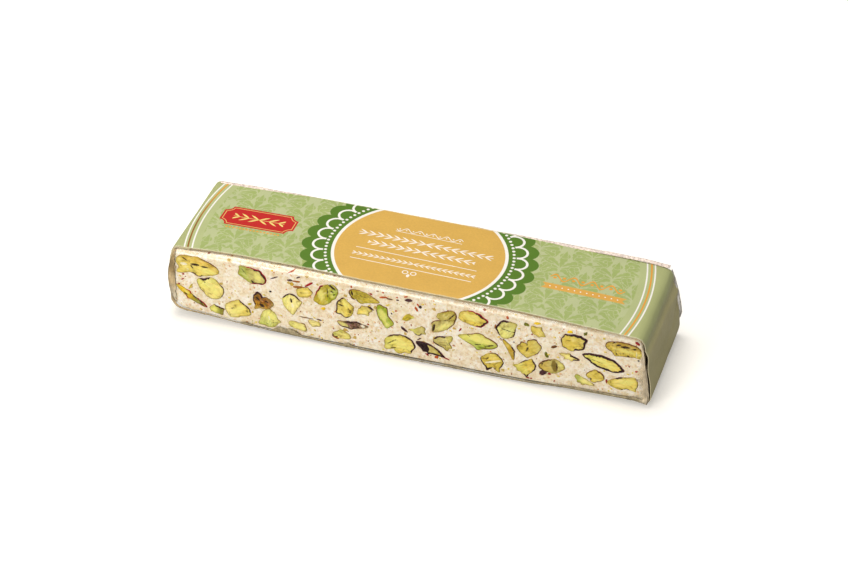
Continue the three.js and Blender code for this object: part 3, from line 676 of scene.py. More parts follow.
def make_leaf():
    """One bowed leaf, pointed at its root and round at its tip, with a lobed edge. It gives the
    depth inside the leaf, below 0 outside. Sizes, places and the depth are millimetres."""
    lobe_count = 3
    names = ("X", "Y", "Angle", "Length", "Width", "Bow")
    group, wires, leave = new_group(
        "leaf", {"Place": "Vector"} | dict.fromkeys(names, "Float"), {"Depth": "Float"}
    )
    x, y, _ = split(group, wires["Place"])
    x, y = x - wires["X"], y - wires["Y"]
    cosine, sine = wires["Angle"].cos(), wires["Angle"].sin()
    forward = x * cosine + y * sine
    along = (forward / wires["Length"]).clipped()
    beyond = forward - along * wires["Length"]
    across = y * cosine - x * sine - wires["Bow"] * along * along
    lobes = 0.88 + 0.12 * (along * (lobe_count * math.tau)).cos()
    half = wires["Width"] * along.power(0.75) * lobes
    feed(group, half - distance(beyond, across), leave.inputs["Depth"])
    return group


mottle = make_mottle()
leaf = make_leaf()


def clouds(tree, place, scale, low, high):
    return place_group(tree, mottle, "Value", Place=place, Scale=scale, Low=low, High=high)


def new_material(name, **constants):
    """A material with one Principled shader, and the constants set on its own sockets."""
    material = bpy.data.materials.new(name)
    material.use_nodes = True
    shader = material.node_tree.nodes["Principled BSDF"]
    for socket, value in constants.items():
        shader.inputs[socket.replace("_", " ")].default_value = value
    return material, material.node_tree, shader


def surface(tree, shader, hue, roughness):
    feed(tree, hue, shader.inputs["Base Color"])
    feed(tree, roughness, shader.inputs["Roughness"])


def bump(tree, shader, height, size):
    """Relief from a height of 0 to 1, `size` millimetres deep."""
    node = tree.nodes.new("ShaderNodeBump")
    node.inputs["Distance"].default_value = size * MM
    feed(tree, height, node.inputs["Height"])
    tree.links.new(node.outputs["Normal"], shader.inputs["Normal"])


# ---- materials of the food ----

NOUGAT_CREAM = colour(250, 240, 214)
NOUGAT_TAN = colour(240, 221, 186)
# Clouds over these two: how fine they are, their share where least and most, and colour.
NOUGAT_CLOUDS = [
    (0.32, -0.5, 1.0, colour(255, 251, 242)),
    (0.5, -0.9, 1.0, colour(226, 204, 156)),
    (0.85, -0.8, 0.9, colour(212, 182, 134)),
    (1.3, -0.8, 0.7, colour(255, 250, 238)),
    (2.1, -0.9, 0.6, colour(236, 190, 140)),
]
# Flecks over the clouds: spacing in millimetres, share of cells that hold a fleck, and colour.
NOUGAT_FLECKS = [
    (1.0, 0.13, colour(222, 164, 104)),
    (1.5, 0.16, colour(214, 150, 96)),
    (1.9, 0.2, colour(228, 206, 96)),
    (2.6, 0.13, colour(160, 84, 52)),
    (3.6, 0.2, colour(198, 166, 84)),
]


def nougat_material():
    """Cream nougat with paler, darker and pinker clouds, and fine flecks of nut and skin."""
    material, tree, shader = new_material("nougat", IOR=1.45, Specular_IOR_Level=0.3,
                                          Subsurface_Weight=0.15, Subsurface_Scale=0.0015)
    shader.inputs["Subsurface Radius"].default_value = (1.0, 0.7, 0.45)
    place = body_place(tree)
    hue = blend(tree, clouds(tree, place, 0.11, 0.0, 1.0), NOUGAT_CREAM, NOUGAT_TAN)
    for scale, least, most, tint in NOUGAT_CLOUDS:
        hue = blend(tree, clouds(tree, place, scale, least, most).clipped(), hue, tint)
    for spacing, share, tint in NOUGAT_FLECKS:
        hue = blend(tree, flecks(tree, place, spacing, share), hue, tint)
    surface(tree, shader, hue, clouds(tree, place, 0.6, 0.34, 0.62))
    grain = noise_wire(tree, place, 1.6, 4.0) * 0.6 + noise_wire(tree, place, 0.5, 2.0) * 0.4
    bump(tree, shader, grain, 0.22)
    return material


def flecks(tree, place, spacing, share):
    """Small irregular flecks, one in some of the cells of the given size."""
    wobble = noise_wire(tree, place, 1.4, 1.0)
    cells = tree.nodes.new("ShaderNodeTexVoronoi")
    cells.inputs["Scale"].default_value = 1 / spacing
    feed(tree, place, cells.inputs["Vector"])
    middle = Wire(tree, cells.outputs["Distance"])
    pick, size, _ = split(tree, Wire(tree, cells.outputs["Color"]))
    radius = 0.08 + 0.16 * size + (wobble - 0.5) * 0.3
    return (radius - middle).mask(0.05) * (share - pick).mask(0.01)


# Marks over a kernel's flesh: their name, raggedness, softness, strength and colour.
GLOW = ("glow", 0.8, 1.0, 0.75, colour(246, 236, 132))
# painted shade: a cut's dark colour stands for the shade down in its crack, which is also sunk a
# little, and a fold's olive for the shade in a hollow that is not sunk at all
CLEFTS = [
    ("seam", 0.3, 0.3, 0.85, colour(252, 244, 216)),
    ("fold", 0.3, 0.5, 0.9, colour(124, 100, 24)),
    ("cut", 0.4, 0.24, 1.0, colour(54, 30, 6)),
]


def pistachio_material():
    """Cut kernel: streaky flesh that turns green and darker to the rim, dark skin, and dark and
    pale clefts, with painted highlight on its lobes and painted shade in its hollows and creases.
    """
    material, tree, shader = new_material("pistachio", IOR=1.47, Specular_IOR_Level=0.22,
                                          Subsurface_Weight=0.06, Subsurface_Scale=0.001)
    grain = attribute(tree, "grain", "Vector")
    place = body_place(tree)
    rim = attribute(tree, "rim")
    wobble = noise_wire(tree, place, 1.5, 3.0) - 0.5
    streaks = noise_wire(tree, scaled(tree, grain, (0.3, 1.25, 1.0)), 1.0, 4.0)
    streaks = ((streaks - 0.5) * 2.2 + 0.5).clipped()
    lobes = clouds(tree, grain, 0.42, 0.0, 1.0)
    creases = crease_lines(tree, grain)
    hue = kernel_flesh(tree, place, streaks, lobes, creases)
    hue = marked(tree, hue, wobble, *GLOW)
    hue = shaded_rim(tree, hue, grain, place, rim)
    for cleft in CLEFTS:
        hue = marked(tree, hue, wobble, *cleft)
    skin = (attribute(tree, "skin") + wobble * 0.5).mask(0.16)
    hue = blend(tree, skin, hue, kernel_skin(tree, place, rim, wobble))
    surface(tree, shader, hue, clouds(tree, place, 1.2, 0.3, 0.55))
    relief = streaks * 0.5 + lobes * 0.3 + noise_wire(tree, place, 2.2, 3.0) * 0.2
    bump(tree, shader, relief - creases * 0.3, 0.3)
    return material


def kernel_flesh(tree, place, streaks, lobes, creases):
    """Streaky flesh with brown blotches, a painted highlight on its raised lobes, and painted shade
    in the hollows between them and along fine creases.
    """
    hue = brightened(tree, attribute(tree, "flesh", "Color"), 0.82 + 0.4 * streaks)
    # painted highlight on the raised lobes, then painted shade in the low ones
    hue = blend(tree, (lobes - 0.5).clipped() * streaks * 1.5, hue, colour(255, 249, 186))
    hue = blend(tree, (0.42 - lobes).clipped() * 1.3, hue, colour(150, 130, 8))
    blotches = (clouds(tree, place, 1.1, -1.0, 1.4) * attribute(tree, "blotch")).clipped()
    hue = blend(tree, blotches, hue, colour(84, 44, 14))
    # painted shade along the creases between the folds
    return blend(tree, creases * (0.55 - lobes).clipped() * 2.4, hue, colour(110, 82, 14))


def marked(tree, hue, wobble, name, ragged, soft, strength, tint):
    """The colour with one kind of mark laid over it."""
    mark = (attribute(tree, name) + wobble * ragged).mask(soft)
    return blend(tree, mark * strength, hue, tint)


def shaded_rim(tree, hue, grain, place, rim):
    """The flesh turning green and darker towards the rim, partly its own colour and partly painted
    shade of its rounding, and brown in places along it.
    """
    # painted shade: within a millimetre of the rim the flesh darkens to olive as well as turning
    # green
    greener_and_shaded = (1.0 - rim).clipped() * clouds(tree, grain, 0.3, 0.05, 0.85)
    hue = blend(tree, greener_and_shaded, hue, colour(158, 146, 34))
    uneven = clouds(tree, place, 0.45, -0.3, 1.4).clipped()
    edge = (0.2 - rim + (noise_wire(tree, place, 1.3, 2.0) - 0.5) * 0.4).mask(0.3)
    return blend(tree, edge * uneven, hue, colour(132, 78, 20))


def kernel_skin(tree, place, rim, wobble):
    """Skin that is almost black away from the rim."""
    inner = ((rim - 0.12 + wobble * 0.4) / 0.3).clipped()
    hue = blend(tree, inner, attribute(tree, "skin_tint", "Color"), colour(34, 8, 12))
    return brightened(tree, hue, clouds(tree, place, 0.9, 0.55, 1.5))


def crease_lines(tree, grain):
    """Thin lines between the folds of a kernel: 1 on a line, 0 away from it."""
    bent = tree.nodes.new("ShaderNodeVectorMath")
    bent.operation = "ADD"
    feed(tree, grain, bent.inputs[0])
    wave = tree.nodes.new("ShaderNodeTexNoise")
    wave.inputs["Scale"].default_value = 0.5
    feed(tree, grain, wave.inputs["Vector"])
    feed(tree, scaled(tree, Wire(tree, wave.outputs["Color"]), (2.4, 2.4, 0.0)), bent.inputs[1])
    cells = tree.nodes.new("ShaderNodeTexVoronoi")
    cells.feature = "DISTANCE_TO_EDGE"
    cells.inputs["Scale"].default_value = 0.33
    feed(tree, scaled(tree, Wire(tree, bent.outputs[0]), (0.6, 1.0, 1.0)), cells.inputs["Vector"])
    return (1.0 - Wire(tree, cells.outputs["Distance"]) / 0.07).clipped()


def fleck_material():
    """Crumbs of nut and skin that the cut has spread over the faces."""
    material, tree, shader = new_material("flecks", IOR=1.45)
    tone = attribute(tree, "tone")
    ramp = tree.nodes.new("ShaderNodeValToRGB")
    ramp.color_ramp.interpolation = "CONSTANT"
    tints = ("peach", "ochre", "pith", "rust", "primrose", "peach", "brown", "khaki", "peach",
             "gold")
    for i, tint in enumerate(tints):
        at = i / len(tints)
        stop = ramp.color_ramp.elements[i] if i < 2 else ramp.color_ramp.elements.new(at)
        stop.position = at
        stop.color = FLESH[tint]
    feed(tree, tone, ramp.inputs["Fac"])
    place = body_place(tree)
    hue = brightened(tree, Wire(tree, ramp.outputs["Color"]), clouds(tree, place, 2.0, 0.8, 1.25))
    surface(tree, shader, hue, clouds(tree, place, 1.5, 0.4, 0.6))
    return material


# ---- the printed band's material ----

SAGE = colour(183, 189, 138)
SAGE_DEEP = colour(157, 172, 97)
SAGE_MARGIN = colour(178, 185, 128)
SAGE_PLAIN = colour(172, 176, 118)
# painted light: the plain ground is paler and warmer on the band's end panels, beyond the folds
SAGE_END_PAINTED_LIGHT = colour(192, 182, 126)
SCALLOP_GREEN = colour(80, 118, 6)
GOLD = colour(214, 169, 76)
CREAM = colour(250, 244, 236)
WHITE = colour(243, 238, 230)
ORANGE = colour(226, 154, 48)
UMBER = colour(146, 96, 26)
RED = colour(190, 16, 6)
RIBBON = colour(218, 164, 70)
PALE_YELLOW = colour(238, 216, 122)

MEDALLION = dict(x=-1.5, y=0.2, disc=30.2, ring=31.35, dots=33.3, scallops=38.05, arcs=34.8)
SCALLOP = dict(count=32, first=8.45, radius=4.2, arc=3.35, arc_half=0.43, root=34.2)
DOTS = dict(pitch=3.53, radius=0.55)
# The three lines near each end, as (radius, half width, colour); the middle one's colour varies.
END_ARCS = ((93.45, 0.27, WHITE), (95.0, 0.3, None), (96.25, 0.27, WHITE))
END_CURVE = dict(x=-1.53, beyond=13.0, y=2.0)  # where the lines' middles lie
LEAF_FIELD = 90.75  # radius up to which the leaf pattern goes, round the same middles
PATTERN = dict(width=19.0, height=20.0)
PLAQUE = dict(x=-62.5, y=2.5, half_x=14.0, half_y=5.8, hollow=2.6)
RIBBON_FORM = dict(x=59.1, y=-3.6, half_x=15.1, half_y=1.65, fork=1.3)

# The leaves of half a motif, the lower ones first: x, y, angle, length, half width and bow.
MOTIF = [
    (0.3, -7.2, 4, 5.6, 1.3, 2.6),
    (5.6, -6.4, 60, 3.6, 1.15, 1.4),
    (2.6, -8.6, -4, 3.6, 1.0, -1.4),
    (7.2, -1.0, 96, 4.6, 1.3, 1.6),
    (7.4, 1.8, 30, 2.8, 0.95, 0.9),
    (4.4, 2.6, 70, 4.8, 1.3, -1.9),
    (2.8, 5.2, 34, 3.8, 1.15, 1.4),
    (0.3, -4.4, 20, 4.9, 1.3, 2.0),
    (0.3, -3.0, -4, 4.6, 1.15, -1.5),
    (0.3, -2.4, 34, 4.9, 1.3, -1.7),
    (0.2, -1.4, 58, 5.1, 1.3, -1.4),
    (0.0, -2.0, 90, 7.4, 2.0, 0.0),
    (0.0, 9.0, -90, 3.8, 1.25, 0.0),
]
LEAF_GAP = 0.24  # width of the pale line that parts a leaf from the one under it
LEAF_EDGE = 0.16  # millimetres over which a leaf's edge fades


def make_motif():
    """The spray of leaves round one motif's middle, laid over what Under holds."""
    group, wires, leave = new_group(
        "leaf motif", {"Place": "Vector", "Under": "Float"}, {"Value": "Float"}
    )
    x, y, _ = split(group, wires["Place"])
    half = joined(group, abs(x), y, 0.0)
    value = wires["Under"]
    for px, py, angle, length, width, bow in MOTIF:
        depth = place_group(group, leaf, "Depth", Place=half, X=px, Y=py,
                            Angle=math.radians(angle), Length=length, Width=width, Bow=bow)
        cleared = ((depth + LEAF_GAP) / LEAF_EDGE).clipped()
        value = value * (1.0 - cleared) + (depth / LEAF_EDGE).clipped()
    feed(group, value, leave.inputs["Value"])
    return group


def leaf_pattern(tree, x, y):
    """The motif in staggered columns."""
    motif = make_motif()
    width, height = PATTERN["width"], PATTERN["height"]
    value = 0.0
    for shift in (0.0, 0.5):
        cell = joined(
            tree,
            (x + width * shift).repeat(width) - width / 2,
            (y + height * shift).repeat(height) - height / 2,
            0.0,
        )
        value = place_group(tree, motif, "Value", Place=cell, Under=value)
    return value * clouds(tree, joined(tree, x, y, 0.0), 0.5, 0.7, 1.15)


def garland(x, y, half_length, half_height, pitch):
    """A row of leaf pairs on a stem, pointing outwards from the middle."""
    along = abs(x).repeat(pitch) / pitch
    half = (along * math.pi).sin() * (0.2 * half_height)
    leaves = half - abs(abs(y) - along * half_height)
    stem = 0.11 - abs(y)
    return leaves.mask(0.16).most(stem.mask(0.12)) * (half_length - abs(x)).mask(FINE_EDGE)


def running_scroll(x, y, half_length, height, period, stroke):
    """A wave with a bud in each of its hollows."""
    wave = (x * (math.tau / period)).sin() * height
    line = stroke - abs(y - wave)
    bud_x = x.repeat(period / 2) - period / 4
    side = (x * (math.tau / period)).sin()
    bud = stroke * 1.5 - distance(bud_x, y - side * (height * -0.15))
    ends = (half_length - abs(x)).mask(FINE_EDGE)
    return line.mask().most(bud.mask()) * ends


def straight_rule(x, y, half_length, half_width):
    return (half_width - abs(y)).mask(FINE_EDGE) * (half_length - abs(x)).mask(FINE_EDGE)


def medallion(tree, x, y, hue):
    """Scalloped rosette: green scallops with white arcs, a row of dots, a ring and a gold disc."""
    x, y = x - MEDALLION["x"], y - MEDALLION["y"]
    radius = distance(x, y)
    angle = sum_node(tree, "ARCTAN2", y, x)
    half_step = math.pi / SCALLOP["count"]
    turn = (angle - math.radians(SCALLOP["first"])).fold(half_step)
    out, over = radius * turn.cos(), radius * turn.sin()
    scallop = SCALLOP["radius"] - distance(out - MEDALLION["scallops"], over)
    body = MEDALLION["scallops"] - radius
    hue = blend(tree, scallop.mask().most(body.mask()), hue, SCALLOP_GREEN)
    arc = SCALLOP["arc_half"] - abs(distance(out - MEDALLION["arcs"], over) - SCALLOP["arc"])
    hue = blend(tree, arc.mask() * (radius - SCALLOP["root"]).mask(), hue, WHITE)
    dot_turn = angle.fold(math.radians(DOTS["pitch"] / 2)) * radius
    dot = DOTS["radius"] - distance(radius - MEDALLION["dots"], dot_turn)
    hue = blend(tree, dot.mask(0.16), hue, WHITE)
    hue = blend(tree, (MEDALLION["ring"] - radius).mask(), hue, WHITE)
    gold = brightened(tree, GOLD, clouds(tree, joined(tree, x, y, 0.0), 1.1, 0.93, 1.05))
    return blend(tree, (MEDALLION["disc"] - radius).mask(), hue, gold)


DISC_TILT = 0.0225  # the print on the disc sinks by this much for each millimetre to the right


def disc_ornaments(tree, x, y, hue):
    """Generic ornament on the gold disc: a scroll, rows of leaves, rules, a drop and curls."""
    u = x + 1.4
    y = y + DISC_TILT * u
    pieces = [
        running_scroll(u, y - 12.2, 12.4, 1.0, 5.0, 0.2),
        straight_rule(u, y - 10.7, 12.4, 0.12),
        garland(u - 0.4, y - 6.1, 25.0, 1.6, 3.1),
        garland(u - 0.2, y - 1.0, 19.8, 1.6, 3.1),
        straight_rule(u + 0.4, y + 3.35, 22.3, 0.15),
        garland(u + 0.2, y + 7.0, 22.6, 1.1, 2.1),
        straight_rule(u + 0.4, y + 10.25, 22.3, 0.15),
    ]
    drop = (0.55 - distance(u, (y + 14.4) * 0.6)).mask()
    curl = (0.17 - abs(distance(abs(u) - 1.5, y + 12.6) - 0.95)).mask(0.12)
    mask = drop.most(curl)
    for piece in pieces:
        mask = mask.most(piece)
    return blend(tree, mask * 0.92, hue, CREAM)


def plaque(tree, x, y, hue):
    """A plain red plaque with hollow corners, a fine line inside its edge and a leaf garland."""
    u, v = x - PLAQUE["x"], y - PLAQUE["y"]
    half_x, half_y = PLAQUE["half_x"], PLAQUE["half_y"]
    corner = distance(abs(u) - half_x, abs(v) - half_y) - PLAQUE["hollow"]
    inside = (half_x - abs(u)).least(half_y - abs(v)).least(corner)
    hue = blend(tree, inside.mask(0.16), hue, RED)
    hue = blend(tree, (0.13 - abs(inside - 0.85)).mask() * 0.8, hue, PALE_YELLOW)
    hue = blend(tree, garland(u, v, 9.6, 2.2, 3.6), hue, PALE_YELLOW)
    beads = 0.42 - distance(u.repeat(1.3) - 0.65, v + 7.2)
    return blend(tree, beads.mask() * (10.6 - abs(u)).mask(FINE_EDGE), hue, ORANGE)


def ribbon(tree, x, y, hue):
    """A plain orange ribbon with forked ends and a scroll over it."""
    u, v = x - RIBBON_FORM["x"], y - RIBBON_FORM["y"]
    half_y = RIBBON_FORM["half_y"]
    reach = RIBBON_FORM["half_x"] - RIBBON_FORM["fork"] * (1.0 - abs(v) / half_y)
    hue = blend(tree, (half_y - abs(v)).least(reach - abs(u)).mask(), hue, RIBBON)
    beads = 0.26 - distance(u.repeat(2.2) - 1.1, v)
    hue = blend(tree, beads.mask() * (12.6 - abs(u)).mask(FINE_EDGE), hue, CREAM)
    scroll = running_scroll(u, y - 2.1, 13.4, 1.7, 6.7, 0.42)
    return blend(tree, scroll, hue, ORANGE)


def make_print():
    """The whole print of the band, from the place on the unrolled paper in millimetres."""
    group, wires, leave = new_group("band print", {"Place": "Vector"}, {"Color": "Color"})
    x, y, _ = split(group, wires["Place"])
    # -1 on the left, 1 on the right, and a steady change across the disc
    side = (x / 30).clipped() - (x / -30).clipped()
    from_middle = distance(abs(x - END_CURVE["x"]) + END_CURVE["beyond"],
                           y + side * END_CURVE["y"])
    field = (LEAF_FIELD - from_middle).mask(0.3)
    hue = blend(group, leaf_pattern(group, x, y), SAGE, SAGE_DEEP)
    hue = blend(group, field, SAGE_MARGIN, hue)
    beyond = (from_middle - END_ARCS[-1][0]).mask(0.2)
    hue = blend(group, beyond, hue, SAGE_PLAIN)
    # painted light: beyond the folds the end panels turn paler and warmer
    hue = blend(group, ((abs(x) - 86.5) / 5).clipped(), hue, SAGE_END_PAINTED_LIGHT)
    middle_line = blend(group, (x / -30).clipped() * ((20 - y) / 24).clipped(), ORANGE, UMBER)
    for radius, half_width, tint in END_ARCS:
        line = (half_width - abs(from_middle - radius)).mask()
        hue = blend(group, line, hue, tint or middle_line)
    hue = plaque(group, x, y, hue)
    hue = ribbon(group, x, y, hue)
    hue = medallion(group, x, y, hue)
    hue = disc_ornaments(group, x, y, hue)
    feed(group, hue, leave.inputs["Color"])
    return group


def paper_material():
    """Smooth printed paper with a soft sheen, paler along its side edges from wear and a painted
    highlight of the cut edge.
    """
    material, tree, shader = new_material("printed paper", IOR=1.45)
    place = scaled(tree, attribute(tree, "unrolled", "Vector"), (1 / MM,) * 3)
    hue = place_group(tree, make_print(), "Color", Place=place)
    hue = brightened(tree, hue, clouds(tree, place, 0.12, 0.95, 1.04))
    hue = brightened(tree, hue, clouds(tree, place, 2.6, 0.95, 1.05))
    # paler along the side edges: worn paper, and a painted highlight where the cut edge catches
    # light
    wear_and_edge_highlight = (attribute(tree, "edge") + (noise_wire(tree, place, 1.1, 3.0) - 0.5) * 0.9).mask(0.5)
    hue = blend(tree, wear_and_edge_highlight * 0.55, hue, colour(226, 220, 190))
    surface(tree, shader, hue, clouds(tree, place, 0.5, 0.34, 0.48))
    fibres = noise_wire(tree, scaled(tree, place, (1.0, 2.2, 1.0)), 2.4, 4.0)
    bump(tree, shader, fibres, 0.03)
    return material


def core_material():
    """The band's unprinted inner side and its cut edges."""
    material, tree, shader = new_material("paper core", IOR=1.4)
    place = body_place(tree)
    hue = blend(tree, clouds(tree, place, 1.2, 0.0, 1.0), colour(206, 196, 160),
                colour(186, 172, 132))
    surface(tree, shader, hue, clouds(tree, place, 1.0, 0.7, 0.9))
    bump(tree, shader, noise_wire(tree, place, 3.0, 3.0), 0.04)
    return material


# ---- the film's materials ----


def film_material():
    """Clear film drawn tight: a faint share of gloss that grows at a flat angle."""
    material, tree, shader = new_material("clear film", Metallic=1.0)
    place = body_place(tree)
    shader.inputs["Base Color"].default_value = (1.0, 0.98, 0.94, 1.0)
    feed(tree, clouds(tree, place, 0.25, 0.16, 0.3), shader.inputs["Roughness"])
    facing = tree.nodes.new("ShaderNodeLayerWeight")
    facing.inputs["Blend"].default_value = 0.35
    gloss = Wire(tree, facing.outputs["Fresnel"])
    feed(tree, (0.01 + 0.14 * gloss + 0.14 * attribute(tree, "fold")).clipped(),
         shader.inputs["Alpha"])
    ripples = noise_wire(tree, scaled(tree, place, (0.35, 1.0, 1.0)), 0.35, 3.0)
    bump(tree, shader, ripples, 0.3)
    return material


def folded_film_material():
    """Film in several layers, as at the folded ends and along the foot: milky and creased, with
    painted shade and highlight along the creases.
    """
    material, tree, shader = new_material("folded film", IOR=1.5)
    place = body_place(tree)
    creases = noise_wire(tree, scaled(tree, place, (1.0, 1.0, 0.35)), 0.8, 4.0)
    creases = ((creases - 0.5) * 2.2 + 0.5).clipped()
    # painted shade and highlight: the colour darkens and brightens with the creases that also make
    # the relief
    hue = brightened(tree, attribute(tree, "film_tint_and_shade", "Color"), 0.72 + 0.5 * creases)
    surface(tree, shader, hue, clouds(tree, place, 0.7, 0.15, 0.35))
    feed(tree, (attribute(tree, "milk") + (creases - 0.5) * 0.4).clipped(),
         shader.inputs["Alpha"])
    bump(tree, shader, creases, 0.35)
    return material


# ---- the block ----

BLOCK_GRID = (430, 66)  # columns and rows of the block's cut faces
NOUGAT_BACK_ROUND = 0.8


class CutFace:
    """The block's cut face: its outline, and how deep its surface lies at any place."""

    def __init__(self, node):
        low, high = (np.array(corner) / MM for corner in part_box(node))
        self.outline = hull(outer_outline(node, FRONT, 0.999))
        self.low, self.high = low[2], high[2]
        self.half_width = high[1]
        self.top_round = high[2] - self.outline[:, 1].max()
        self.foot_round = self.outline[:, 1].min() - low[2]
        self.top_line = self.side_lines(*BLOCK_GRID)[2]

    def side_lines(self, columns, rows):
        """The outline's bottom, right, top and left sides, each from its low or left end."""
        points = resampled(self.outline, 2400)
        low, high = points.min(axis=0), points.max(axis=0)
        corners = [(low[0], low[1]), (high[0], low[1]), (high[0], high[1]), (low[0], high[1])]
        starts = [int(np.argmin(np.linalg.norm(points - corner, axis=1))) for corner in corners]
        lines = []
        for start, end, count in zip(starts, starts[1:] + starts[:1],
                                     (columns, rows, columns, rows)):
            span = (end - start) % len(points)
            line = points[(start + np.arange(span + 1)) % len(points)]
            lines.append(resampled(line, count, closed=False))
        return lines[0], lines[1], lines[2][::-1], lines[3][::-1]

    def patch(self, columns, rows):
        """An even grid over the outline, as (row, column, axis): a blend between its four sides."""
        bottom, right, top, left = self.side_lines(columns, rows)
        u = np.linspace(0, 1, columns)[None, :, None]
        v = np.linspace(0, 1, rows)[:, None, None]
        ruled = (1 - v) * bottom[None] + v * top[None] + (1 - u) * left[:, None]
        ruled = ruled + u * right[:, None]
        corner_mix = ((1 - u) * (1 - v) * bottom[0] + u * (1 - v) * bottom[-1]
                      + (1 - u) * v * top[0] + u * v * top[-1])
        return ruled - corner_mix

    def depth(self, x, z):
        """y of the front surface, flat in the middle and rounding back at the top."""
        over = z - np.interp(x, self.top_line[:, 0], self.top_line[:, 1])
        share = np.clip(over / self.top_round, 0, 0.98)
        return -self.half_width + self.top_round * (1 - np.sqrt(1 - share**2))


def rim_loop(rows, columns):
    """The numbers of the points round a grid's edge, anticlockwise from its first point."""
    bottom = np.arange(columns)
    right = np.arange(1, rows) * columns + columns - 1
    top = (rows - 1) * columns + np.arange(columns - 2, -1, -1)
    left = np.arange(rows - 2, 0, -1) * columns
    return np.concatenate([bottom, right, top, left])


def slab(face, columns, rows, back_round, face_relief, wall_relief=None, round_steps=4,
         wall_steps=10):
    """A closed block over the face's outline, its top rounded by back_round at the back. The
    reliefs move the surface inwards by millimetres: face_relief(x, z, side) on the two faces and
    wall_relief(x, y, z) on the walls between."""
    flat = face.patch(columns, rows).reshape(-1, 2)
    rim = rim_loop(rows, columns)
    edge = flat[rim]
    foot, reach = edge[:, 1].min(), np.ptp(edge[:, 1])

    def pressed(points, top_round, press):
        """The same points where the block is `press` of its rounding narrower."""
        low = face.low + face.foot_round * press
        high = face.high - top_round * press
        return low + (points[:, 1] - foot) / reach * (high - low)

    vertices, rings = [], {FRONT: [], BACK: []}
    for side, top_round in ((FRONT, face.top_round), (BACK, back_round)):
        z = pressed(flat, top_round, 1)
        depth = side * (face.half_width - face_relief(flat[:, 0], z, side))
        vertices.append(np.stack([flat[:, 0], depth, z], axis=1))
        radius = face.foot_round + (top_round - face.foot_round) * (edge[:, 1] - foot) / reach
        for i in range(1, round_steps + 1):
            angle = math.pi / 2 * i / round_steps
            y = side * (face.half_width - radius * (1 - math.cos(angle)))
            z = pressed(edge, top_round, 1 - math.sin(angle))
            rings[side].append(np.stack([edge[:, 0], y, z], axis=1))
    near, far = rings[FRONT][-1], rings[BACK][-1]
    between = [near + (far - near) * step / wall_steps for step in range(1, wall_steps)]
    loops = rings[FRONT] + between + rings[BACK][::-1]
    if wall_relief:
        press_walls(loops, edge, wall_relief)
    quads = grid_quads(rows, columns)
    walls = wall_faces(rim, len(flat), len(loops))
    return np.vstack(vertices + loops), np.vstack([quads, quads[:, ::-1] + len(flat), walls])


def press_walls(loops, edge, wall_relief):
    """Moves the rings of a wall inwards, square to the outline that they follow."""
    run = np.roll(edge, -1, axis=0) - np.roll(edge, 1, axis=0)
    run /= np.linalg.norm(run, axis=1)[:, None]
    for ring in loops:
        push = wall_relief(*ring.T)
        ring[:, 0] -= run[:, 1] * push
        ring[:, 2] += run[:, 0] * push


def wall_faces(rim, count, ring_count):
    """Quads from the front grid's rim through the rings to the back grid's rim."""
    size = len(rim)
    loops = [rim]
    loops += [2 * count + i * size + np.arange(size) for i in range(ring_count)]
    loops.append(rim + count)
    quads = []
    for near, far in zip(loops, loops[1:]):
        quads.append(np.stack([near, far, np.roll(far, -1), np.roll(near, -1)], axis=1))
    return np.vstack(quads)


def outline_distance(points, outline):
    """Distance from each point to a closed outline, below 0 inside it."""
    start, step = outline, np.roll(outline, -1, axis=0) - outline
    offset = points[:, None] - start[None]
    along = np.clip((offset * step).sum(axis=2) / (step**2).sum(axis=1), 0, 1)
    gap = np.linalg.norm(offset - along[..., None] * step, axis=2).min(axis=1)
    x, z = points[:, 0, None], points[:, 1, None]
    x0, z0 = start[:, 0], start[:, 1]
    x1, z1 = np.roll(x0, -1), np.roll(z0, -1)
    crossing = (z0 > z) != (z1 > z)
    with np.errstate(divide="ignore", invalid="ignore"):
        left_of = x < (x1 - x0) * (z - z0) / (z1 - z0) + x0
    inside = (crossing & left_of).sum(axis=1) % 2 == 1
    return np.where(inside, -gap, gap)


def build_nougat(face, outlines):
    """The block, sunk a little under each kernel and drawn in along the kernels' rims."""
    def relief(x, z, side):
        push = 0.07 + 0.05 * rough(x * 0.16, z * 0.16, side) + 0.045 * rough(x * 0.7, z * 0.7)
        places = np.stack([-side * x, z], axis=1)
        for outline in outlines[side]:
            low, high = outline.min(axis=0) - 1.2, outline.max(axis=0) + 1.2
            near = np.all((places > low) & (places < high), axis=1)
            gap = outline_distance(places[near], outline)
            push[near] += 0.06 * smoothstep(0.9, 0.0, gap) + 0.5 * smoothstep(-0.3, -0.9, gap)
        return push

    vertices, faces = slab(face, *BLOCK_GRID, NOUGAT_BACK_ROUND, relief)
    piece = make_mesh("nougat_block", vertices, faces)
    settle(piece, [nougat_material()], ["nougat"])


# ---- kernels and crumbs ----

KERNEL_SPACING = 0.36  # distance between the points of a kernel's cut face
CRUMB_SPACING = 0.3
PROUD = 0.1  # how far a kernel stands out of the nougat
CLEFT_GAIN = 1.3  # widens every cleft, to allow for its ragged edges
PULL_SPREAD = 17  # degrees over which a bulge or a dent dies away, where it names none
NO_SKIN = -0.2  # a thickness that leaves the rim bare, in spite of the skin's ragged edge
# Rings that close a kernel behind its cut face: share of its outline, and share of its depth.
KERNEL_WALL = ((0.99, 0.25), (0.9, 0.6), (0.6, 1.0))


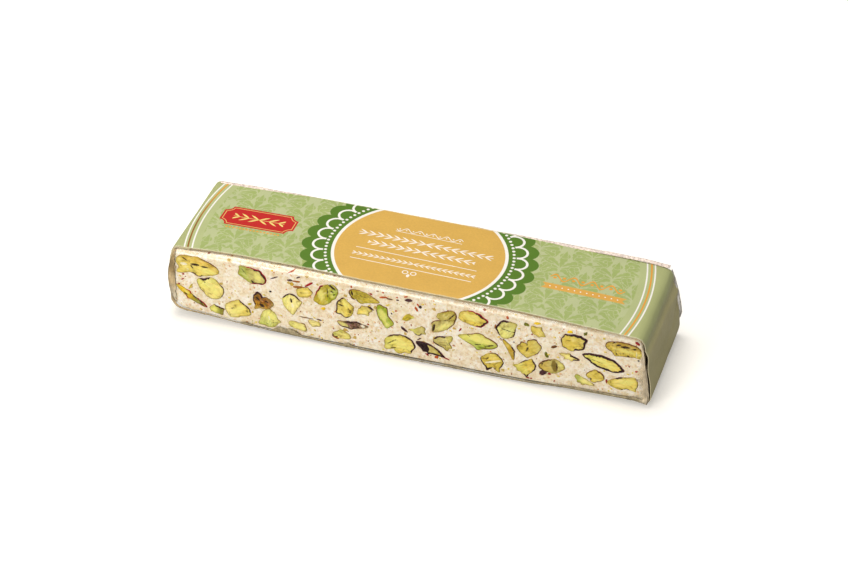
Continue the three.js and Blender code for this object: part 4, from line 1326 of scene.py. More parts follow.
def pulled(outline, pulls, seed):
    """The outline with its bulges and dents, and a fine unevenness."""
    middle = outline.mean(axis=0)
    arm = outline - middle
    angle = bearings(arm)
    reach = np.linalg.norm(arm, axis=1)
    push = np.zeros(len(outline))
    for direction, distance_out, *spread in pulls:
        away = turn_from(direction, angle)
        push += distance_out * np.exp(-((away / (spread or [PULL_SPREAD])[0]) ** 2))
    x, z = outline.T
    ripple = 0.18 * rough(x * 0.55, z * 0.55, seed) + 0.14 * rough(x * 1.5, z * 1.5, seed)
    return middle + arm * ((reach + push + ripple) / reach)[:, None]


def cleft_depth(points, clefts):
    """How far each point lies inside the nearest cleft, in millimetres; below 0 outside."""
    depth = np.full(len(points), -1.0)
    for x0, z0, x1, z1, width in clefts:
        start, step = np.array([x0, z0 + FOOT]), np.array([x1 - x0, z1 - z0])
        along = np.clip(((points - start) @ step) / (step @ step), 0, 1)
        gap = np.linalg.norm(points - start - along[:, None] * step, axis=1)
        half = CLEFT_GAIN * width / 2 * (0.55 + 0.45 * np.sin(along * math.pi))
        depth = np.maximum(depth, half - gap)
    return depth


def skin_depth(points, rim, middle, stretches, seed):
    """How far each point lies inside the dark skin, in millimetres; below 0 in the flesh."""
    angle = bearings(points - middle)
    thickness = np.full(len(points), NO_SKIN)
    for direction, spread, thick in stretches:
        away = np.abs(turn_from(direction, angle))
        grown = NO_SKIN + (thick - NO_SKIN) * smoothstep(1.2, 0.85, away / spread)
        thickness = np.maximum(thickness, grown)
    x, z = points.T
    wander = rough(x * 0.5, z * 0.5, seed + 7) + 0.6 * rough(x * 1.7, z * 1.7, seed)
    return thickness * (1 + 0.5 * wander) - rim


def kernel_mesh(face, outline, style, seed, spacing):
    """One kernel, cut flat at the face: its places, faces and the values that its colours use."""
    size = len(outline)
    middle = outline.mean(axis=0)
    reach = np.linalg.norm(outline - middle, axis=1).mean()
    ring_count = max(4, round(reach / spacing))
    shares = 1 - (1 - np.linspace(0, 1, ring_count + 1)[1:]) ** 1.35
    flat = np.vstack([middle[None]] + [middle + (outline - middle) * s for s in shares])
    marks = kernel_marks(flat, outline, middle, reach, style, seed)
    places = [kernel_top(face, flat, marks, seed)]
    for share, deep in KERNEL_WALL:
        at = middle + (outline - middle) * share
        back = face.depth(outline[:, 0], outline[:, 1]) + deep * min(1.9, 0.6 * reach)
        places.append(np.stack([at[:, 0], back, at[:, 1]], axis=1))
    places.append([[middle[0], places[-1][:, 1].mean(), middle[1]]])
    for name, values in marks.items():
        hidden = [values[-size:]] * len(KERNEL_WALL)
        marks[name] = np.concatenate([values, *hidden, values[:1]])
    return np.vstack(places), kernel_faces(size, ring_count + len(KERNEL_WALL)), marks


def kernel_top(face, flat, marks, seed):
    """Places of the cut face: proud of the nougat, rippled, and sunk along clefts and skin."""
    x, z = flat.T
    rim = marks["rim"]
    rise = PROUD * smoothstep(0.0, 0.35, rim)
    rise += 0.09 * rough(x * 0.4, z * 0.9, seed) * smoothstep(0, 0.8, rim)
    sink = 0.28 * smoothstep(-0.15, 0.25, marks["cut"])
    sink += 0.1 * smoothstep(-0.15, 0.2, marks["seam"])
    sink += 0.05 * smoothstep(-0.1, 0.15, marks["skin"])
    return np.stack([x, face.depth(x, z) - rise + sink, z], axis=1)


def kernel_marks(flat, outline, middle, reach, style, seed):
    """What the kernel's material reads at the places of its cut face."""
    arm = flat - middle
    heading = principal_direction(outline)
    across = np.array([-heading[1], heading[0]])
    rim = -outline_distance(flat, outline).clip(max=0)
    marks = {
        "flesh": flesh_colours(arm / reach, style, flat, seed),
        "skin_tint": np.tile(SKIN[style["tint"]], (len(flat), 1)),
        "rim": rim,
        "skin": skin_depth(flat, rim, middle, style["skin"], seed),
        "grain": np.stack([arm @ heading, arm @ across, np.full(len(flat), seed * 3.7)], axis=1),
        "blotch": np.full(len(flat), style["blotch"]),
    }
    for name in ("cut", "seam", "glow", "fold"):
        marks[name] = cleft_depth(flat, style[name + "s"])
    return marks


def kernel_faces(size, ring_count):
    """Faces over rings of `size` points between a first point, in front, and a last one."""
    first, step = np.arange(size), np.arange(1, size + 1) % size
    fan = np.stack([np.zeros(size, int), first + 1, step + 1], axis=1)
    quads = grid_quads(ring_count, size, 1, closed=True)
    tail = 1 + (ring_count - 1) * size
    close = np.stack([first + tail, np.full(size, tail + size), step + tail], axis=1)
    return [*fan.tolist(), *quads[:, ::-1].tolist(), *close.tolist()]


def principal_direction(outline):
    """The direction in which the outline is longest."""
    spread = outline - outline.mean(axis=0)
    values, vectors = np.linalg.eigh(spread.T @ spread)
    return vectors[:, np.argmax(values)]


def flesh_colours(arm, style, flat, seed):
    """The flesh's colour at each place, with its second colour growing in from one side."""
    base = np.tile(FLESH[style["flesh"]], (len(arm), 1))
    if not style["lean"]:
        return base
    tint, direction, amount = style["lean"]
    heading = np.array([math.cos(math.radians(direction)), math.sin(math.radians(direction))])
    wander = rough(flat[:, 0] * 0.3, flat[:, 1] * 0.3, seed + 3)
    share = amount * smoothstep(-0.35, 1.0, arm @ heading + 0.35 * wander)
    return towards(base, FLESH[tint], share[:, None])


def turned_round(places):
    """From the back face's own layout to the frame."""
    return places * (-1, -1, 1)


def look_of(side, number):
    """A kernel's look; on the back face, one of the kinds by a seeded choice."""
    if side == FRONT:
        return FRONT_LOOKS[number - 1]
    return random.Random(5 + number).choice(BACK_KINDS)


def seed_of(side, number):
    return number + 50 * side


def build_kernels(face, outlines):
    material = pistachio_material()
    for side, word in WORDS.items():
        for number, outline in enumerate(outlines[side], start=1):
            style = look_of(side, number)
            places, faces, marks = kernel_mesh(face, outline, style, seed_of(side, number),
                                               KERNEL_SPACING)
            if side == BACK:
                places = turned_round(places)
            piece = make_mesh(f"pistachio_{word}_{number:02d}", places, faces, marks)
            settle(piece, [material], [f"kernel_{word}_{number:02d}"])
    return material


def kernel_outlines():
    """The kernels' outlines on each face, from the frame, smoothed and made a little uneven."""
    outlines = {}
    for side, word in WORDS.items():
        outlines[side] = []
        count = sum(name.startswith(f"kernel_{word}") for name in frame["nodes"])
        for number in range(1, count + 1):
            plain = outer_outline(f"kernel_{word}_{number:02d}", side, 0.2)
            if side == BACK:
                plain = plain * (-1, 1)
            fine = smoothed(resampled(plain, 20))
            length = np.linalg.norm(np.diff(fine, axis=0), axis=1).sum()
            even = resampled(fine, max(40, round(length / KERNEL_SPACING)))
            pulls = look_of(side, number)["pull"]
            outlines[side].append(pulled(even, pulls, seed_of(side, number)))
    return outlines


def crumb_outline(long, wide, turn, x, z, seed):
    """A ragged oval round a place, tilted by `turn` degrees."""
    angles = np.linspace(0, math.tau, 22, endpoint=False)
    cosine, sine = np.cos(angles), np.sin(angles)
    ragged = 1 + 0.34 * rough(cosine * 1.3, sine * 1.3, seed)
    local = np.stack([cosine * long / 2, sine * wide / 2], axis=1) * ragged[:, None]
    tilt = math.radians(turn)
    rotate = np.array([[math.cos(tilt), math.sin(tilt)], [-math.sin(tilt), math.cos(tilt)]])
    return local @ rotate + (x, z + FOOT)


def back_crumbs(outlines):
    """Crumbs for the back face, by a seeded rule, where no kernel is."""
    dice = random.Random(11)
    rows = []
    while len(rows) < BACK_CRUMB_COUNT:
        x, z = dice.uniform(-82, 82), dice.uniform(1.5, 23)
        spot = np.array([[x, z + FOOT]])
        if min(outline_distance(spot, outline)[0] for outline in outlines) > 1.2:
            long = dice.uniform(0.7, 2.6)
            wide = long * dice.uniform(0.3, 0.8)
            rows.append((dice.choice(CRUMB_TINTS), x, z, long, wide, dice.uniform(0, 180)))
    return rows


def build_crumbs(face, outlines, material):
    """The crumbs of each face as one piece, each in a single colour."""
    for side, rows in ((FRONT, FRONT_CRUMBS), (BACK, back_crumbs(outlines[BACK]))):
        all_places, all_faces, all_marks = [], [], []
        count = 0
        for seed, (tint, x, z, long, wide, turn) in enumerate(rows):
            outline = crumb_outline(long, wide, turn, x, z, seed * 1.9)
            places, faces, marks = kernel_mesh(face, outline, look(tint), seed, CRUMB_SPACING)
            marks["rim"] = np.zeros(len(places))
            marks["skin"] = np.ones(len(places))
            marks["skin_tint"] = np.tile(FLESH[tint], (len(places), 1))
            all_places.append(places)
            all_faces += [[i + count for i in corners] for corners in faces]
            all_marks.append(marks)
            count += len(places)
        places = np.vstack(all_places)
        marks = {name: np.concatenate([m[name] for m in all_marks]) for name in all_marks[0]}
        if side == BACK:
            places = turned_round(places)
        piece = make_mesh(f"crumbs_{WORDS[side]}", places, all_faces, marks)
        settle(piece, [material])


# ---- fine flecks, scattered by geometry nodes ----

FLECKS = dict(per_square_mm=0.13, small=0.09, large=0.42, seed=3)


def fleck_tree(material):
    """Scatters flat chips over the faces of the mesh it is given. Returns the tree, and the
    identifiers of its inputs by their names."""
    tree = bpy.data.node_groups.new("scatter flecks", "GeometryNodeTree")
    kinds = {"Geometry": "Geometry", "Density": "Float", "Smallest": "Float",
             "Largest": "Float", "Seed": "Int"}
    sockets = {}
    for name, kind in kinds.items():
        sockets[name] = tree.interface.new_socket(
            name, in_out="INPUT", socket_type=f"NodeSocket{kind}"
        ).identifier
    tree.interface.new_socket("Geometry", in_out="OUTPUT", socket_type="NodeSocketGeometry")
    given = tree.nodes.new("NodeGroupInput").outputs

    def add(kind, inputs, **settings):
        """A node with its settings, and its inputs linked to outputs or set to values."""
        node = tree.nodes.new(kind)
        for name, value in settings.items():
            setattr(node, name, value)
        for name, value in inputs.items():
            if isinstance(value, bpy.types.NodeSocket):
                tree.links.new(value, node.inputs[name])
            else:
                node.inputs[name].default_value = value
        return node.outputs

    def chance(least, most):
        return add("FunctionNodeRandomValue", {2: least, 3: most}, data_type="FLOAT")[1]

    points = add("GeometryNodeDistributePointsOnFaces",
                 {"Mesh": given["Geometry"], "Density": given["Density"], "Seed": given["Seed"]})
    chip = add("GeometryNodeMeshIcoSphere", {"Radius": 1.0, "Subdivisions": 1})
    form = add("ShaderNodeCombineXYZ", {0: chance(0.6, 1.6), 1: chance(0.3, 0.9), 2: 0.35})
    size = add("ShaderNodeVectorMath",
               {0: form[0], "Scale": chance(given["Smallest"], given["Largest"])},
               operation="SCALE")
    turn = add("ShaderNodeCombineXYZ", {2: chance(0.0, math.tau)})
    spin = add("FunctionNodeEulerToRotation", {0: turn[0]})
    facing = add("FunctionNodeRotateRotation",
                 {"Rotation": points["Rotation"], "Rotate By": spin[0]}, rotation_space="LOCAL")
    chips = add("GeometryNodeInstanceOnPoints",
                {"Points": points["Points"], "Instance": chip["Mesh"],
                 "Rotation": facing[0], "Scale": size[0]})
    toned = add("GeometryNodeStoreNamedAttribute",
                {"Geometry": chips["Instances"], "Name": "tone", "Value": chance(0.0, 1.0)},
                data_type="FLOAT", domain="INSTANCE")
    real = add("GeometryNodeRealizeInstances", {"Geometry": toned["Geometry"]})
    painted = add("GeometryNodeSetMaterial", {"Geometry": real["Geometry"], "Material": material})
    add("NodeGroupOutput", {"Geometry": painted["Geometry"]})
    return tree, sockets


FLECK_CLEAR = 0.5  # how far flecks keep from a kernel
FLECK_DEPTH = 0.06  # how far inside the block's face their middles lie


def fleck_ground(face, outlines):
    """Loose sheets just inside both cut faces, only where nougat shows."""
    columns, rows = 170, 26
    flat = face.patch(columns, rows).reshape(-1, 2)
    quads = grid_quads(rows, columns)
    middles = flat[quads].mean(axis=1)
    vertices, faces = [], []
    for side in (FRONT, BACK):
        places = middles * (-side, 1)
        bare = np.ones(len(quads), bool)
        for outline in outlines[side]:
            bare &= outline_distance(places, outline) > FLECK_CLEAR
        depth = side * (face.half_width - FLECK_DEPTH)
        vertices.append(np.stack([flat[:, 0], np.full(len(flat), depth), flat[:, 1]], axis=1))
        kept = quads[bare] + (len(flat) if side == BACK else 0)
        faces.append(kept if side == FRONT else kept[:, ::-1])
    return make_mesh("fleck_ground", np.vstack(vertices), np.vstack(faces))


def build_flecks(face, outlines):
    base = fleck_ground(face, outlines)
    material = fleck_material()
    tree, sockets = fleck_tree(material)
    modifier = base.modifiers.new("flecks", "NODES")
    modifier.node_group = tree
    modifier[sockets["Density"]] = FLECKS["per_square_mm"] / MM**2
    modifier[sockets["Smallest"]] = FLECKS["small"] * MM
    modifier[sockets["Largest"]] = FLECKS["large"] * MM
    modifier[sockets["Seed"]] = FLECKS["seed"]
    graph = bpy.context.evaluated_depsgraph_get()
    mesh = bpy.data.meshes.new_from_object(base.evaluated_get(graph))
    bpy.data.objects.remove(base)
    piece = add_object("flecks", mesh)
    mesh.polygons.foreach_set("use_smooth", [True] * len(mesh.polygons))
    settle(piece, [] if mesh.materials else [material])


# ---- the paper band ----

PAPER = 0.24  # its thickness
BAND_ROWS = 30
SKEW = -0.0048  # the band lies a little askew: sideways for each millimetre along
LAP = dict(start=10.0, end=26.0, step=0.16)  # a step under the bar, where the paper laps
# How far the front edge lies back from a straight line, as (x, distance).
FRONT_EDGE = ((-80, 0.25), (-68, 1.2), (-60, 1.4), (-50, 1.1), (-35, 1.2), (-25, 0.7), (-15, 0.25),
              (0, 0.0), (20, 0.2), (40, 0.5), (60, 0.1), (80, -0.3))
BACK_EDGE = 0.6  # how far the back edge stands out from the same line


def band_push(x, y, z):
    """How far the paper is pressed in at each place: waves, soft hollows at the ends, the dip at
    the back of the right end, and the lap. The folds are crisper at the back, where the paper
    stands out to a sharper corner."""
    push = 0.07 + 0.07 * rough(x * 0.045, y * 0.07, 2.0) + 0.03 * rough(x * 0.2, y * 0.2, 9.0)
    for corner_x, corner_z in ((85.6, 27.0), (-86.0, 27.6)):
        near = np.exp(-((np.hypot(x - corner_x, z - corner_z) / 1.9) ** 2))
        push -= 0.2 * near * smoothstep(-8, 22, y)
    push += 0.5 * smoothstep(77, 85, x) * smoothstep(8, 22, y) * (z > 20)
    push -= 0.85 * smoothstep(85, 87, x) * smoothstep(27, 21, z)

    crease = np.exp(-(((z - 22.6 + 0.02 * (y - 10)) / 1.5) ** 2))
    bow = np.exp(-(((z - 9.5 - 0.012 * y * y) / 3.2) ** 2))
    right = 0.7 * crease * (0.65 + 0.35 * smoothstep(-22, 5, y)) + 0.5 * bow
    right += 0.1 * (1 + rough(y * 0.13, z * 0.2, 4.0))
    left = 0.25 * np.exp(-(((z - 20) / 4) ** 2)) + 0.1 * (1 + rough(y * 0.13, z * 0.2, 5.0))
    push += right * ((x > 84) & (z < 27)) + left * ((x < -84) & (z < 26))
    return push + LAP["step"] * ((z < 1.0) & (LAP["start"] < x) & (x < LAP["end"]))


def band_line():
    """The band's outer line from the middle of its top, the inward direction at each point, and
    how far along the unrolled paper the point lies."""
    outer = resampled(outer_outline("paper_band", FRONT, 0.99), 860)
    top = int(np.argmin(np.abs(outer[:, 0]) + 1000 * (outer[:, 1] < 20)))
    outer = np.roll(outer, -top, axis=0)
    tangent = np.roll(outer, -1, axis=0) - np.roll(outer, 1, axis=0)
    tangent /= np.linalg.norm(tangent, axis=1)[:, None]
    inward = np.stack([-tangent[:, 1], tangent[:, 0]], axis=1)
    length = np.linalg.norm(np.roll(outer, -1, axis=0) - outer, axis=1).sum()
    travelled = np.arange(len(outer)) * length / len(outer)
    # The outline runs anticlockwise, so from the middle of the top it first goes to -X.
    unrolled = outer[0, 0] - np.where(travelled > length / 2, travelled - length, travelled)
    return outer, inward, unrolled


def band_faces(count):
    """Quads of the paper's outside and inside, and of its front and back edges."""
    size = count * BAND_ROWS
    outside = grid_quads(BAND_ROWS, count, closed=True)
    ring = np.arange(count)
    following = (ring + 1) % count
    front = np.stack([ring, ring + size, following + size, following], axis=1)
    back = front[:, [0, 3, 2, 1]] + size - count
    return np.vstack([outside, outside[:, ::-1] + size, front, back]), len(outside)


def build_band():
    outer, inward, along = band_line()
    half_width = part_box("paper_band")[1][1] / MM
    x, z = outer.T
    share = np.linspace(-1, 1, BAND_ROWS)[:, None]
    wave = 0.12 * rough(along * 0.07, 5.0 * np.sign(share)) - 0.12
    y = share * (half_width + wave) + SKEW * x + BACK_EDGE * (1 + share) / 2
    y += np.interp(x, *zip(*FRONT_EDGE)) * (1 - share) / 2
    at_edge = np.abs(share) ** 12

    def pressed_in(depth):
        return np.stack([x + inward[:, 0] * depth, y, z + inward[:, 1] * depth], axis=2)

    depth = band_push(x, y, z) + 0.1 * at_edge
    places = [pressed_in(depth), pressed_in(depth + PAPER + 0.5 * at_edge * (x < -80))]
    unrolled = np.stack(np.broadcast_arrays(along, y, 0.0), axis=2).reshape(-1, 3) * MM
    edge = np.broadcast_to((np.abs(share) - 1) * half_width + 0.35, y.shape).ravel()
    marks = {"unrolled": np.tile(unrolled, (2, 1)),
             "edge": np.concatenate([edge, np.full(len(edge), -1.0)])}
    faces, printed = band_faces(len(outer))
    piece = make_mesh("band_paper", np.reshape(places, (-1, 3)), faces, marks)
    settle(piece, [paper_material(), core_material()], ["paper_band"])
    core = np.arange(len(faces)) >= printed
    piece.data.polygons.foreach_set("material_index", core.astype(np.int32))
    piece.data.set_sharp_from_angle(angle=math.radians(50))  # the cut edges stay crisp


# ---- the film ----

FILM_GRID = (300, 52)
FILM_BACK_ROUND = 0.9
FILM_LIFT = 0.22  # how far the drawn film lies inside the outermost place it may have

# Colours of the folded film; 'tan', 'shaded', 'gap', 'khaki' and 'shadow' are painted shade, and
# 'foot' is partly painted shade
FILM_TINT = {name: np.array(colour(*shade)) for name, shade in {
    "end": (226, 212, 182),
    "tan": (206, 180, 134),
    "shaded": (168, 142, 96),
    "foot": (176, 164, 134),
    "wall": (226, 208, 178),
    "gap": (70, 58, 40),
    "back": (240, 220, 206),
    "khaki": (190, 174, 138),
    "shadow": (138, 122, 86),
    "cream": (240, 222, 188),
    "clear": (238, 232, 222),
}.items()}


def film_face_relief(x, z, side):
    """Fine tension wrinkles towards the ends and the foot, and a few crumpled spots."""
    end = smoothstep(62, 86, np.abs(x))
    foot = smoothstep(6.5, 1.5, z)
    crumple = np.exp(-(((x + 35) / 5) ** 2 + ((z - 27) / 3) ** 2))
    wrinkle = np.abs(rough(x * 0.35, z * 0.9, 3.0 + side))
    return FILM_LIFT + 0.14 * wrinkle * (0.25 + end + foot + crumple)


def film_wall_relief(x, y, z):
    """Creases of the folded flaps on the end walls, and slack folds along the foot."""
    end = smoothstep(80, 87, np.abs(x))
    folds = np.abs(rough(y * 0.5, z * 0.16, 8.0)) + 0.5 * np.abs(rough(y * 1.1, z * 0.3, 1.0))
    slack = smoothstep(3.0, 1.0, z) * (0.25 + 0.5 * np.abs(rough(x * 0.22, 0.0, 6.0)))
    return 0.1 + end * 0.4 * np.minimum(folds, 1.0) + slack


def film_milk(places):
    """How milky the folded film is at each place, and its colour, with painted shade on the left
    end, in the gap at the right end and partly along the foot.
    """
    x, y, z = places.T
    milk = np.full(len(places), 0.6)
    tint = np.tile(FILM_TINT["end"], (len(places), 1))

    def wash(name, share, amount):
        nonlocal milk, tint
        tint = towards(tint, FILM_TINT[name], share[:, None])
        milk = milk + (amount - milk) * share

    # painted shade on the left end: the film darkens upwards to tan and then to a shaded brown, for
    # the band's inner side lying in shade behind it
    left = smoothstep(-84.6, -85.2, x)
    wash("end", left, 0.9)
    wash("tan", left * smoothstep(8.0, 14.0, z), 0.92)
    wash("shaded", left * smoothstep(17.6, 18.4, z), 0.96)
    right = smoothstep(84.5, 85.5, x) * (y < 0)
    wash("wall", right, 0.8)
    # painted shade: a dark band in the gap between the block and the band at the front of the right
    # end, with a paler line through it
    dark = smoothstep(16.2, 17.0, z) * smoothstep(25.8, 25.0, z)
    deep = smoothstep(-22.9, -22.3, y)
    wash("gap", right * dark * deep * (1 - 0.8 * np.exp(-(((z - 20.4) / 0.7) ** 2))), 0.9)
    # along the foot the film turns khaki-grey: folded film, and partly painted shade under the bar
    wash("foot", smoothstep(3.0, 2.0, z) * (np.abs(x) < 84), 0.8)
    wash("back", smoothstep(27.0, 27.8, z) * smoothstep(21.4, 22.2, y), 0.9)
    return milk, tint


def sheet(near, offset):
    """A thin closed sheet: the grid of places and the same grid moved by the offset."""
    rows, columns = near.shape[:2]
    front = near.reshape(-1, 3)
    quads = grid_quads(rows, columns)
    walls = wall_faces(rim_loop(rows, columns), len(front), 0)
    faces = np.vstack([quads, quads[:, ::-1] + len(front), walls])
    return np.vstack([front, front + offset]), faces


def film_piece(name, material, x, y, z, offset, tint, milk):
    """A loose stretch of film, from a grid of places with their colours and milkiness."""
    near = np.stack(np.broadcast_arrays(x, y, z), axis=2)
    places, faces = sheet(near, offset)
    tints = np.broadcast_to(tint, (*near.shape[:2], 4)).reshape(-1, 4)
    milks = np.broadcast_to(milk, near.shape[:2]).ravel()
    marks = {"film_tint_and_shade": np.tile(tints, (2, 1)), "milk": np.tile(milks, 2)}
    settle(make_mesh(name, places, faces, marks), [material])


# The slack hem of film along the front foot, as (x, lower edge, upper edge), from FOOT.
HEM = ((-86.9, 3.6, 7.0), (-86.2, 2.5, 5.0), (-85.2, 1.3, 3.2), (-84, 0.6, 2.0),
       (-82.5, 0.2, 1.4), (-80, 0.1, 1.0), (-72, -0.2, 0.6), (-66, -0.6, -0.1), (-61, -1.0, -0.3),
       (-58.5, -1.1, 0.5), (-56, -1.2, -0.5), (-49, -1.5, -0.9), (-46.5, -1.5, 1.2),
       (-44, -1.6, 0.7), (-42.5, -1.6, 1.2), (-40, -1.7, 0.7), (-38, -1.7, -0.7),
       (-27, -1.9, -1.0), (-22, -2.0, -0.8), (-20.5, -2.0, 0.0), (-18, -2.0, -1.0),
       (0, -2.1, -1.3), (14, -2.1, -1.4), (17, -2.1, -0.8), (20, -2.1, -0.9), (24, -2.1, -1.4),
       (36, -2.0, -1.2), (48, -1.8, -0.8), (54, -1.3, -0.4), (58, -1.0, 0.2), (70, -0.6, 0.5),
       (80, -0.6, 0.7), (84, -0.7, 1.2), (86.2, -1.0, 0.6), (88, -0.9, 2.6))
HEM_FRONT = -23.5  # where the hem's face stands


def build_hem(material):
    """The film gathered along the front foot, with crinkles in it; its khaki, its darker lower rows
    and crinkles are painted shade.
    """
    at, low, high = zip(*HEM)
    x = np.linspace(at[0], at[-1], 420)
    low, high = np.interp(x, at, low), np.interp(x, at, high)
    v = np.linspace(0, 1, 7)[:, None]
    ragged = 0.16 * rough(x * 0.9, 0.0, 4.0) + 0.1 * rough(x * 2.3, 1.0, 4.0)
    crumple = rough(x * 0.5, v * 2.8, 6.0) + 0.6 * rough(x * 1.7, v * 4.0, 7.0)
    y = HEM_FRONT + 0.35 * (1 - v) ** 2 + 0.16 * crumple
    z = FOOT + low + v * (high - low + ragged)
    # painted shade: the khaki darkens towards the lower rows and in the crinkles, the lowest rows
    # darken again from about x = -60 on, and the tan and cream at the ends take the same shade
    shade = np.clip(0.55 * (1 - v) - 0.6 * crumple, 0, 1)[..., None]
    tint = towards(FILM_TINT["khaki"], FILM_TINT["shadow"], shade)
    tint = tint * (1 - 0.2 * smoothstep(0.3, 0.0, v) * smoothstep(-64, -56, x))[..., None]
    tint = towards(tint, FILM_TINT["tan"] * (1 - 0.35 * shade), smoothstep(-62, -76, x)[:, None])
    tint = towards(tint, FILM_TINT["cream"] * (1 - 0.45 * shade),
                   smoothstep(84.8, 86.4, x)[:, None])
    milk = 0.9 - 0.35 * smoothstep(0.75, 1.0, v)
    film_piece("film_hem", material, x, y, z, (0, 0.12, 0), tint, milk)


# The outer edge of the flap at the back of the right end, as (x, height above the floor).
FLAP = ((84.5, 27.2), (86.0, 23.6), (87.65, 18.3), (88.9, 13.0), (89.45, 9.4), (89.0, 7.2),
        (87.9, 5.9))
FLAP_ROOT = (84.0, 16.0)  # the place that its pleats run from
FLAP_BACK = 22.75


def build_flap(material):
    """The end of the film, folded to a stiff upright flap beyond the band's back edge."""
    x, z = resampled(np.array(FLAP), 40, closed=False).T[..., None]
    v = np.linspace(0, 1, 9)
    x = FLAP_ROOT[0] + (x - FLAP_ROOT[0]) * v
    z = FLAP_ROOT[1] + (z - FLAP_ROOT[1]) * v
    pleats = np.abs(rough(x * 0.9, z * 0.25, 3.0))
    # painted shade along the pleat lines and painted light between them
    tint = FILM_TINT["clear"] * (0.8 + 0.4 * pleats[..., None])
    milk = 0.42 + 0.6 * pleats + 0.35 * smoothstep(0.86, 1.0, v)
    film_piece("film_flap", material, x, FLAP_BACK + 0.25 * pleats, z, (0, 0.25, 0), tint, milk)


# Where the film at the foot of the right end reaches the paper, as (x, height above the floor).
CORNER = ((86.7, 17.0), (87.05, 14.5), (87.45, 12.0), (87.95, 9.0), (88.4, 6.0), (88.55, 4.0),
          (88.45, 2.4), (87.9, 1.0))
CORNER_START, CORNER_FRONT = 83.6, -23.36


def build_corner(material):
    """The film drawn out to the paper at the foot of the right end, crumpled and pale."""
    edge, z = resampled(np.array(CORNER[::-1]), 50, closed=False).T[..., None]
    v = np.linspace(0, 1, 9)
    x = CORNER_START + (edge - CORNER_START) * v
    crumple = rough(x * 0.9, z * 0.6, 8.0) + 0.6 * rough(x * 2.2, z * 1.5, 2.0)
    y = CORNER_FRONT + 0.35 * v * v + 0.1 * crumple
    lifted = z + 0.9 * (1 - v) * smoothstep(4.0, 1.0, z)
    shade = np.clip(0.3 + 0.9 * crumple, 0, 1)[..., None]
    tint = FILM_TINT["cream"] * (1 - 0.4 * shade)
    milk = np.clip(1.15 * v - 0.2 + 0.6 * crumple, 0, 0.95) * smoothstep(17.0, 14.5, z)
    film_piece("film_corner", material, x, y, lifted, (0, 0.1, 0), tint, milk)


RIDGE_ROOT = (21.6, 29.0)  # y and z of the line that the seam stands on


def build_ridge(material):
    """The film's folded seam, which stands up behind the band along its back edge."""
    x = np.linspace(-84.5, 84.0, 180)
    v = np.linspace(0, 1, 5)[:, None]
    wave = rough(x * 0.12, 0.0, 9.0)
    y = RIDGE_ROOT[0] + (1.1 + 0.25 * wave) * v
    z = RIDGE_ROOT[1] + 0.5 * v * smoothstep(-88, -70, x) + 0.05 * wave
    z = z - 0.85 * smoothstep(72, 85, x)
    tint = FILM_TINT["back"] * (1 + 0.06 * wave[:, None])
    film_piece("film_ridge", material, x, y, z, (0, 0, -0.12), tint, 0.85)


def build_film():
    face = CutFace("film_wrap")
    vertices, faces = slab(face, *FILM_GRID, FILM_BACK_ROUND, film_face_relief,
                           film_wall_relief, round_steps=5, wall_steps=24)
    x, y, z = vertices.T
    edge = smoothstep(face.high - 3.6, face.high - 1.4, z) * smoothstep(20.5, 22.8, np.abs(y))
    milk, tint = film_milk(vertices)
    piece = make_mesh("film_skin", vertices, faces,
                      {"fold": 0.22 * edge, "milk": milk, "film_tint_and_shade": tint})
    folded_film = folded_film_material()
    settle(piece, [film_material(), folded_film], ["film_wrap"])
    x, y, z = vertices[faces].mean(axis=1).T
    # both ends, the foot and the seam along the back are folded in several layers
    folded = (x < -85.1) | (x > 86.7 - 0.11 * (z - 3)) | (z < 1.5) | (y > 21.9) & (z > 27.4)
    piece.data.polygons.foreach_set("material_index", folded.astype(np.int32))
    for build in (build_hem, build_flap, build_corner, build_ridge):
        build(folded_film)


# ---- floor, light and camera ----

WARM_WHITE = (1.0, 0.98, 0.95)
# Place in metres, size and power of each softbox; they all face the bar.
SOFTBOXES = {"key": ((-0.1, 0.08, 0.65), 0.4, 2.9), "front": ((-0.4, -0.85, 0.3), 0.5, 6.4)}
SKY = 0.36
# The floor: half its side in metres, its colour as the bar sees it and as the camera does, and
# the glow that lifts it to white.
FLOOR = dict(reach=4.0, dim=(0.42, 0.41, 0.39, 1.0), seen=(0.92, 0.89, 0.84, 1.0),
             glow=(1.0, 0.97, 0.92, 1.0), strength=0.3)
CAMERA = dict(place=(222.2, -751.2, 567.1), azimuth=16.453, elevation=35.102, roll=1.217,
              lens=114.51, sensor=36.0)


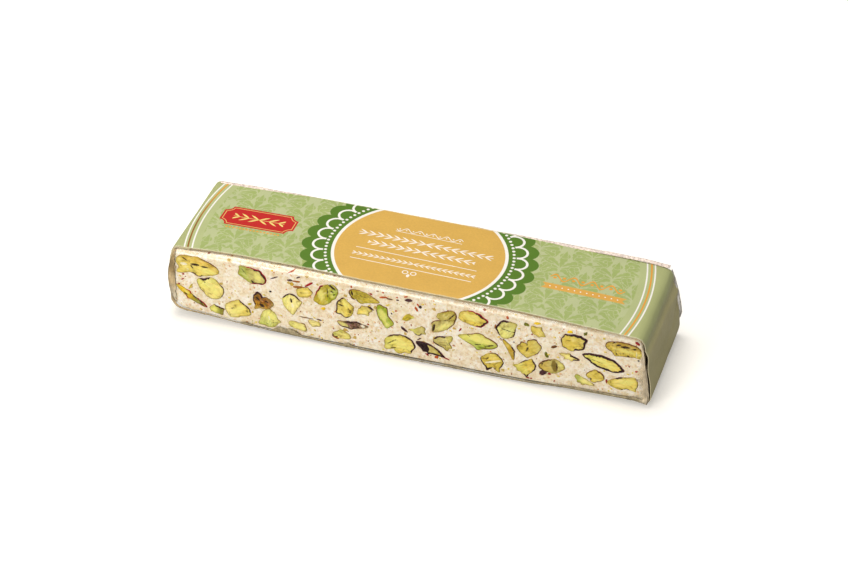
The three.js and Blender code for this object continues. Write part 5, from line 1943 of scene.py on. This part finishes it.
def build_stage():
    reach = FLOOR["reach"]
    corners = [(-reach, -reach, 0), (reach, -reach, 0), (reach, reach, 0), (-reach, reach, 0)]
    mesh = bpy.data.meshes.new("floor")
    mesh.from_pydata(corners, [], [(0, 1, 2, 3)])
    floor = add_object("floor", mesh)
    material, tree, shader = new_material("floor", Roughness=0.9, Specular_IOR_Level=0.1,
                                          Emission_Color=FLOOR["glow"])
    seen = Wire(tree, tree.nodes.new("ShaderNodeLightPath").outputs["Is Camera Ray"])
    feed(tree, blend(tree, seen, FLOOR["dim"], FLOOR["seen"]), shader.inputs["Base Color"])
    feed(tree, seen * FLOOR["strength"], shader.inputs["Emission Strength"])
    mesh.materials.append(material)


def add_softbox(name, place, size, power):
    light = bpy.data.lights.new(name, "AREA")
    light.shape = "SQUARE"
    light.size = size
    light.energy = power
    light.color = WARM_WHITE
    lamp = add_object(name, light)
    lamp.location = place
    lamp.rotation_euler = (-Vector(place)).to_track_quat("-Z", "Y").to_euler()


def build_light():
    for name, (place, size, power) in SOFTBOXES.items():
        add_softbox(name, place, size, power)
    world = bpy.data.worlds.new("studio")
    world.use_nodes = True
    sky = world.node_tree.nodes["Background"]
    sky.inputs["Color"].default_value = (1.0, 1.0, 1.0, 1.0)
    sky.inputs["Strength"].default_value = SKY
    bpy.context.scene.world = world
    bpy.context.scene.view_settings.view_transform = "Standard"


def build_camera():
    azimuth, elevation = math.radians(CAMERA["azimuth"]), math.radians(CAMERA["elevation"])
    back = Vector((math.sin(azimuth) * math.cos(elevation),
                   -math.cos(azimuth) * math.cos(elevation), math.sin(elevation)))
    data = bpy.data.cameras.new("camera")
    data.lens = CAMERA["lens"]
    data.sensor_width = CAMERA["sensor"]
    data.clip_end = 20.0
    camera = add_object("camera", data)
    look_at = (-back).to_track_quat("-Z", "Y").to_matrix().to_4x4()
    roll = Matrix.Rotation(math.radians(CAMERA["roll"]), 4, "Z")
    camera.matrix_world = Matrix.Translation(Vector(CAMERA["place"]) * MM) @ look_at @ roll
    bpy.context.scene.camera = camera


def main():
    build_stage()
    build_light()
    build_camera()
    block = CutFace("nougat")
    outlines = kernel_outlines()
    build_nougat(block, outlines)
    pistachio = build_kernels(block, outlines)
    build_crumbs(block, outlines, pistachio)
    build_flecks(block, outlines)
    build_band()
    build_film()


main()
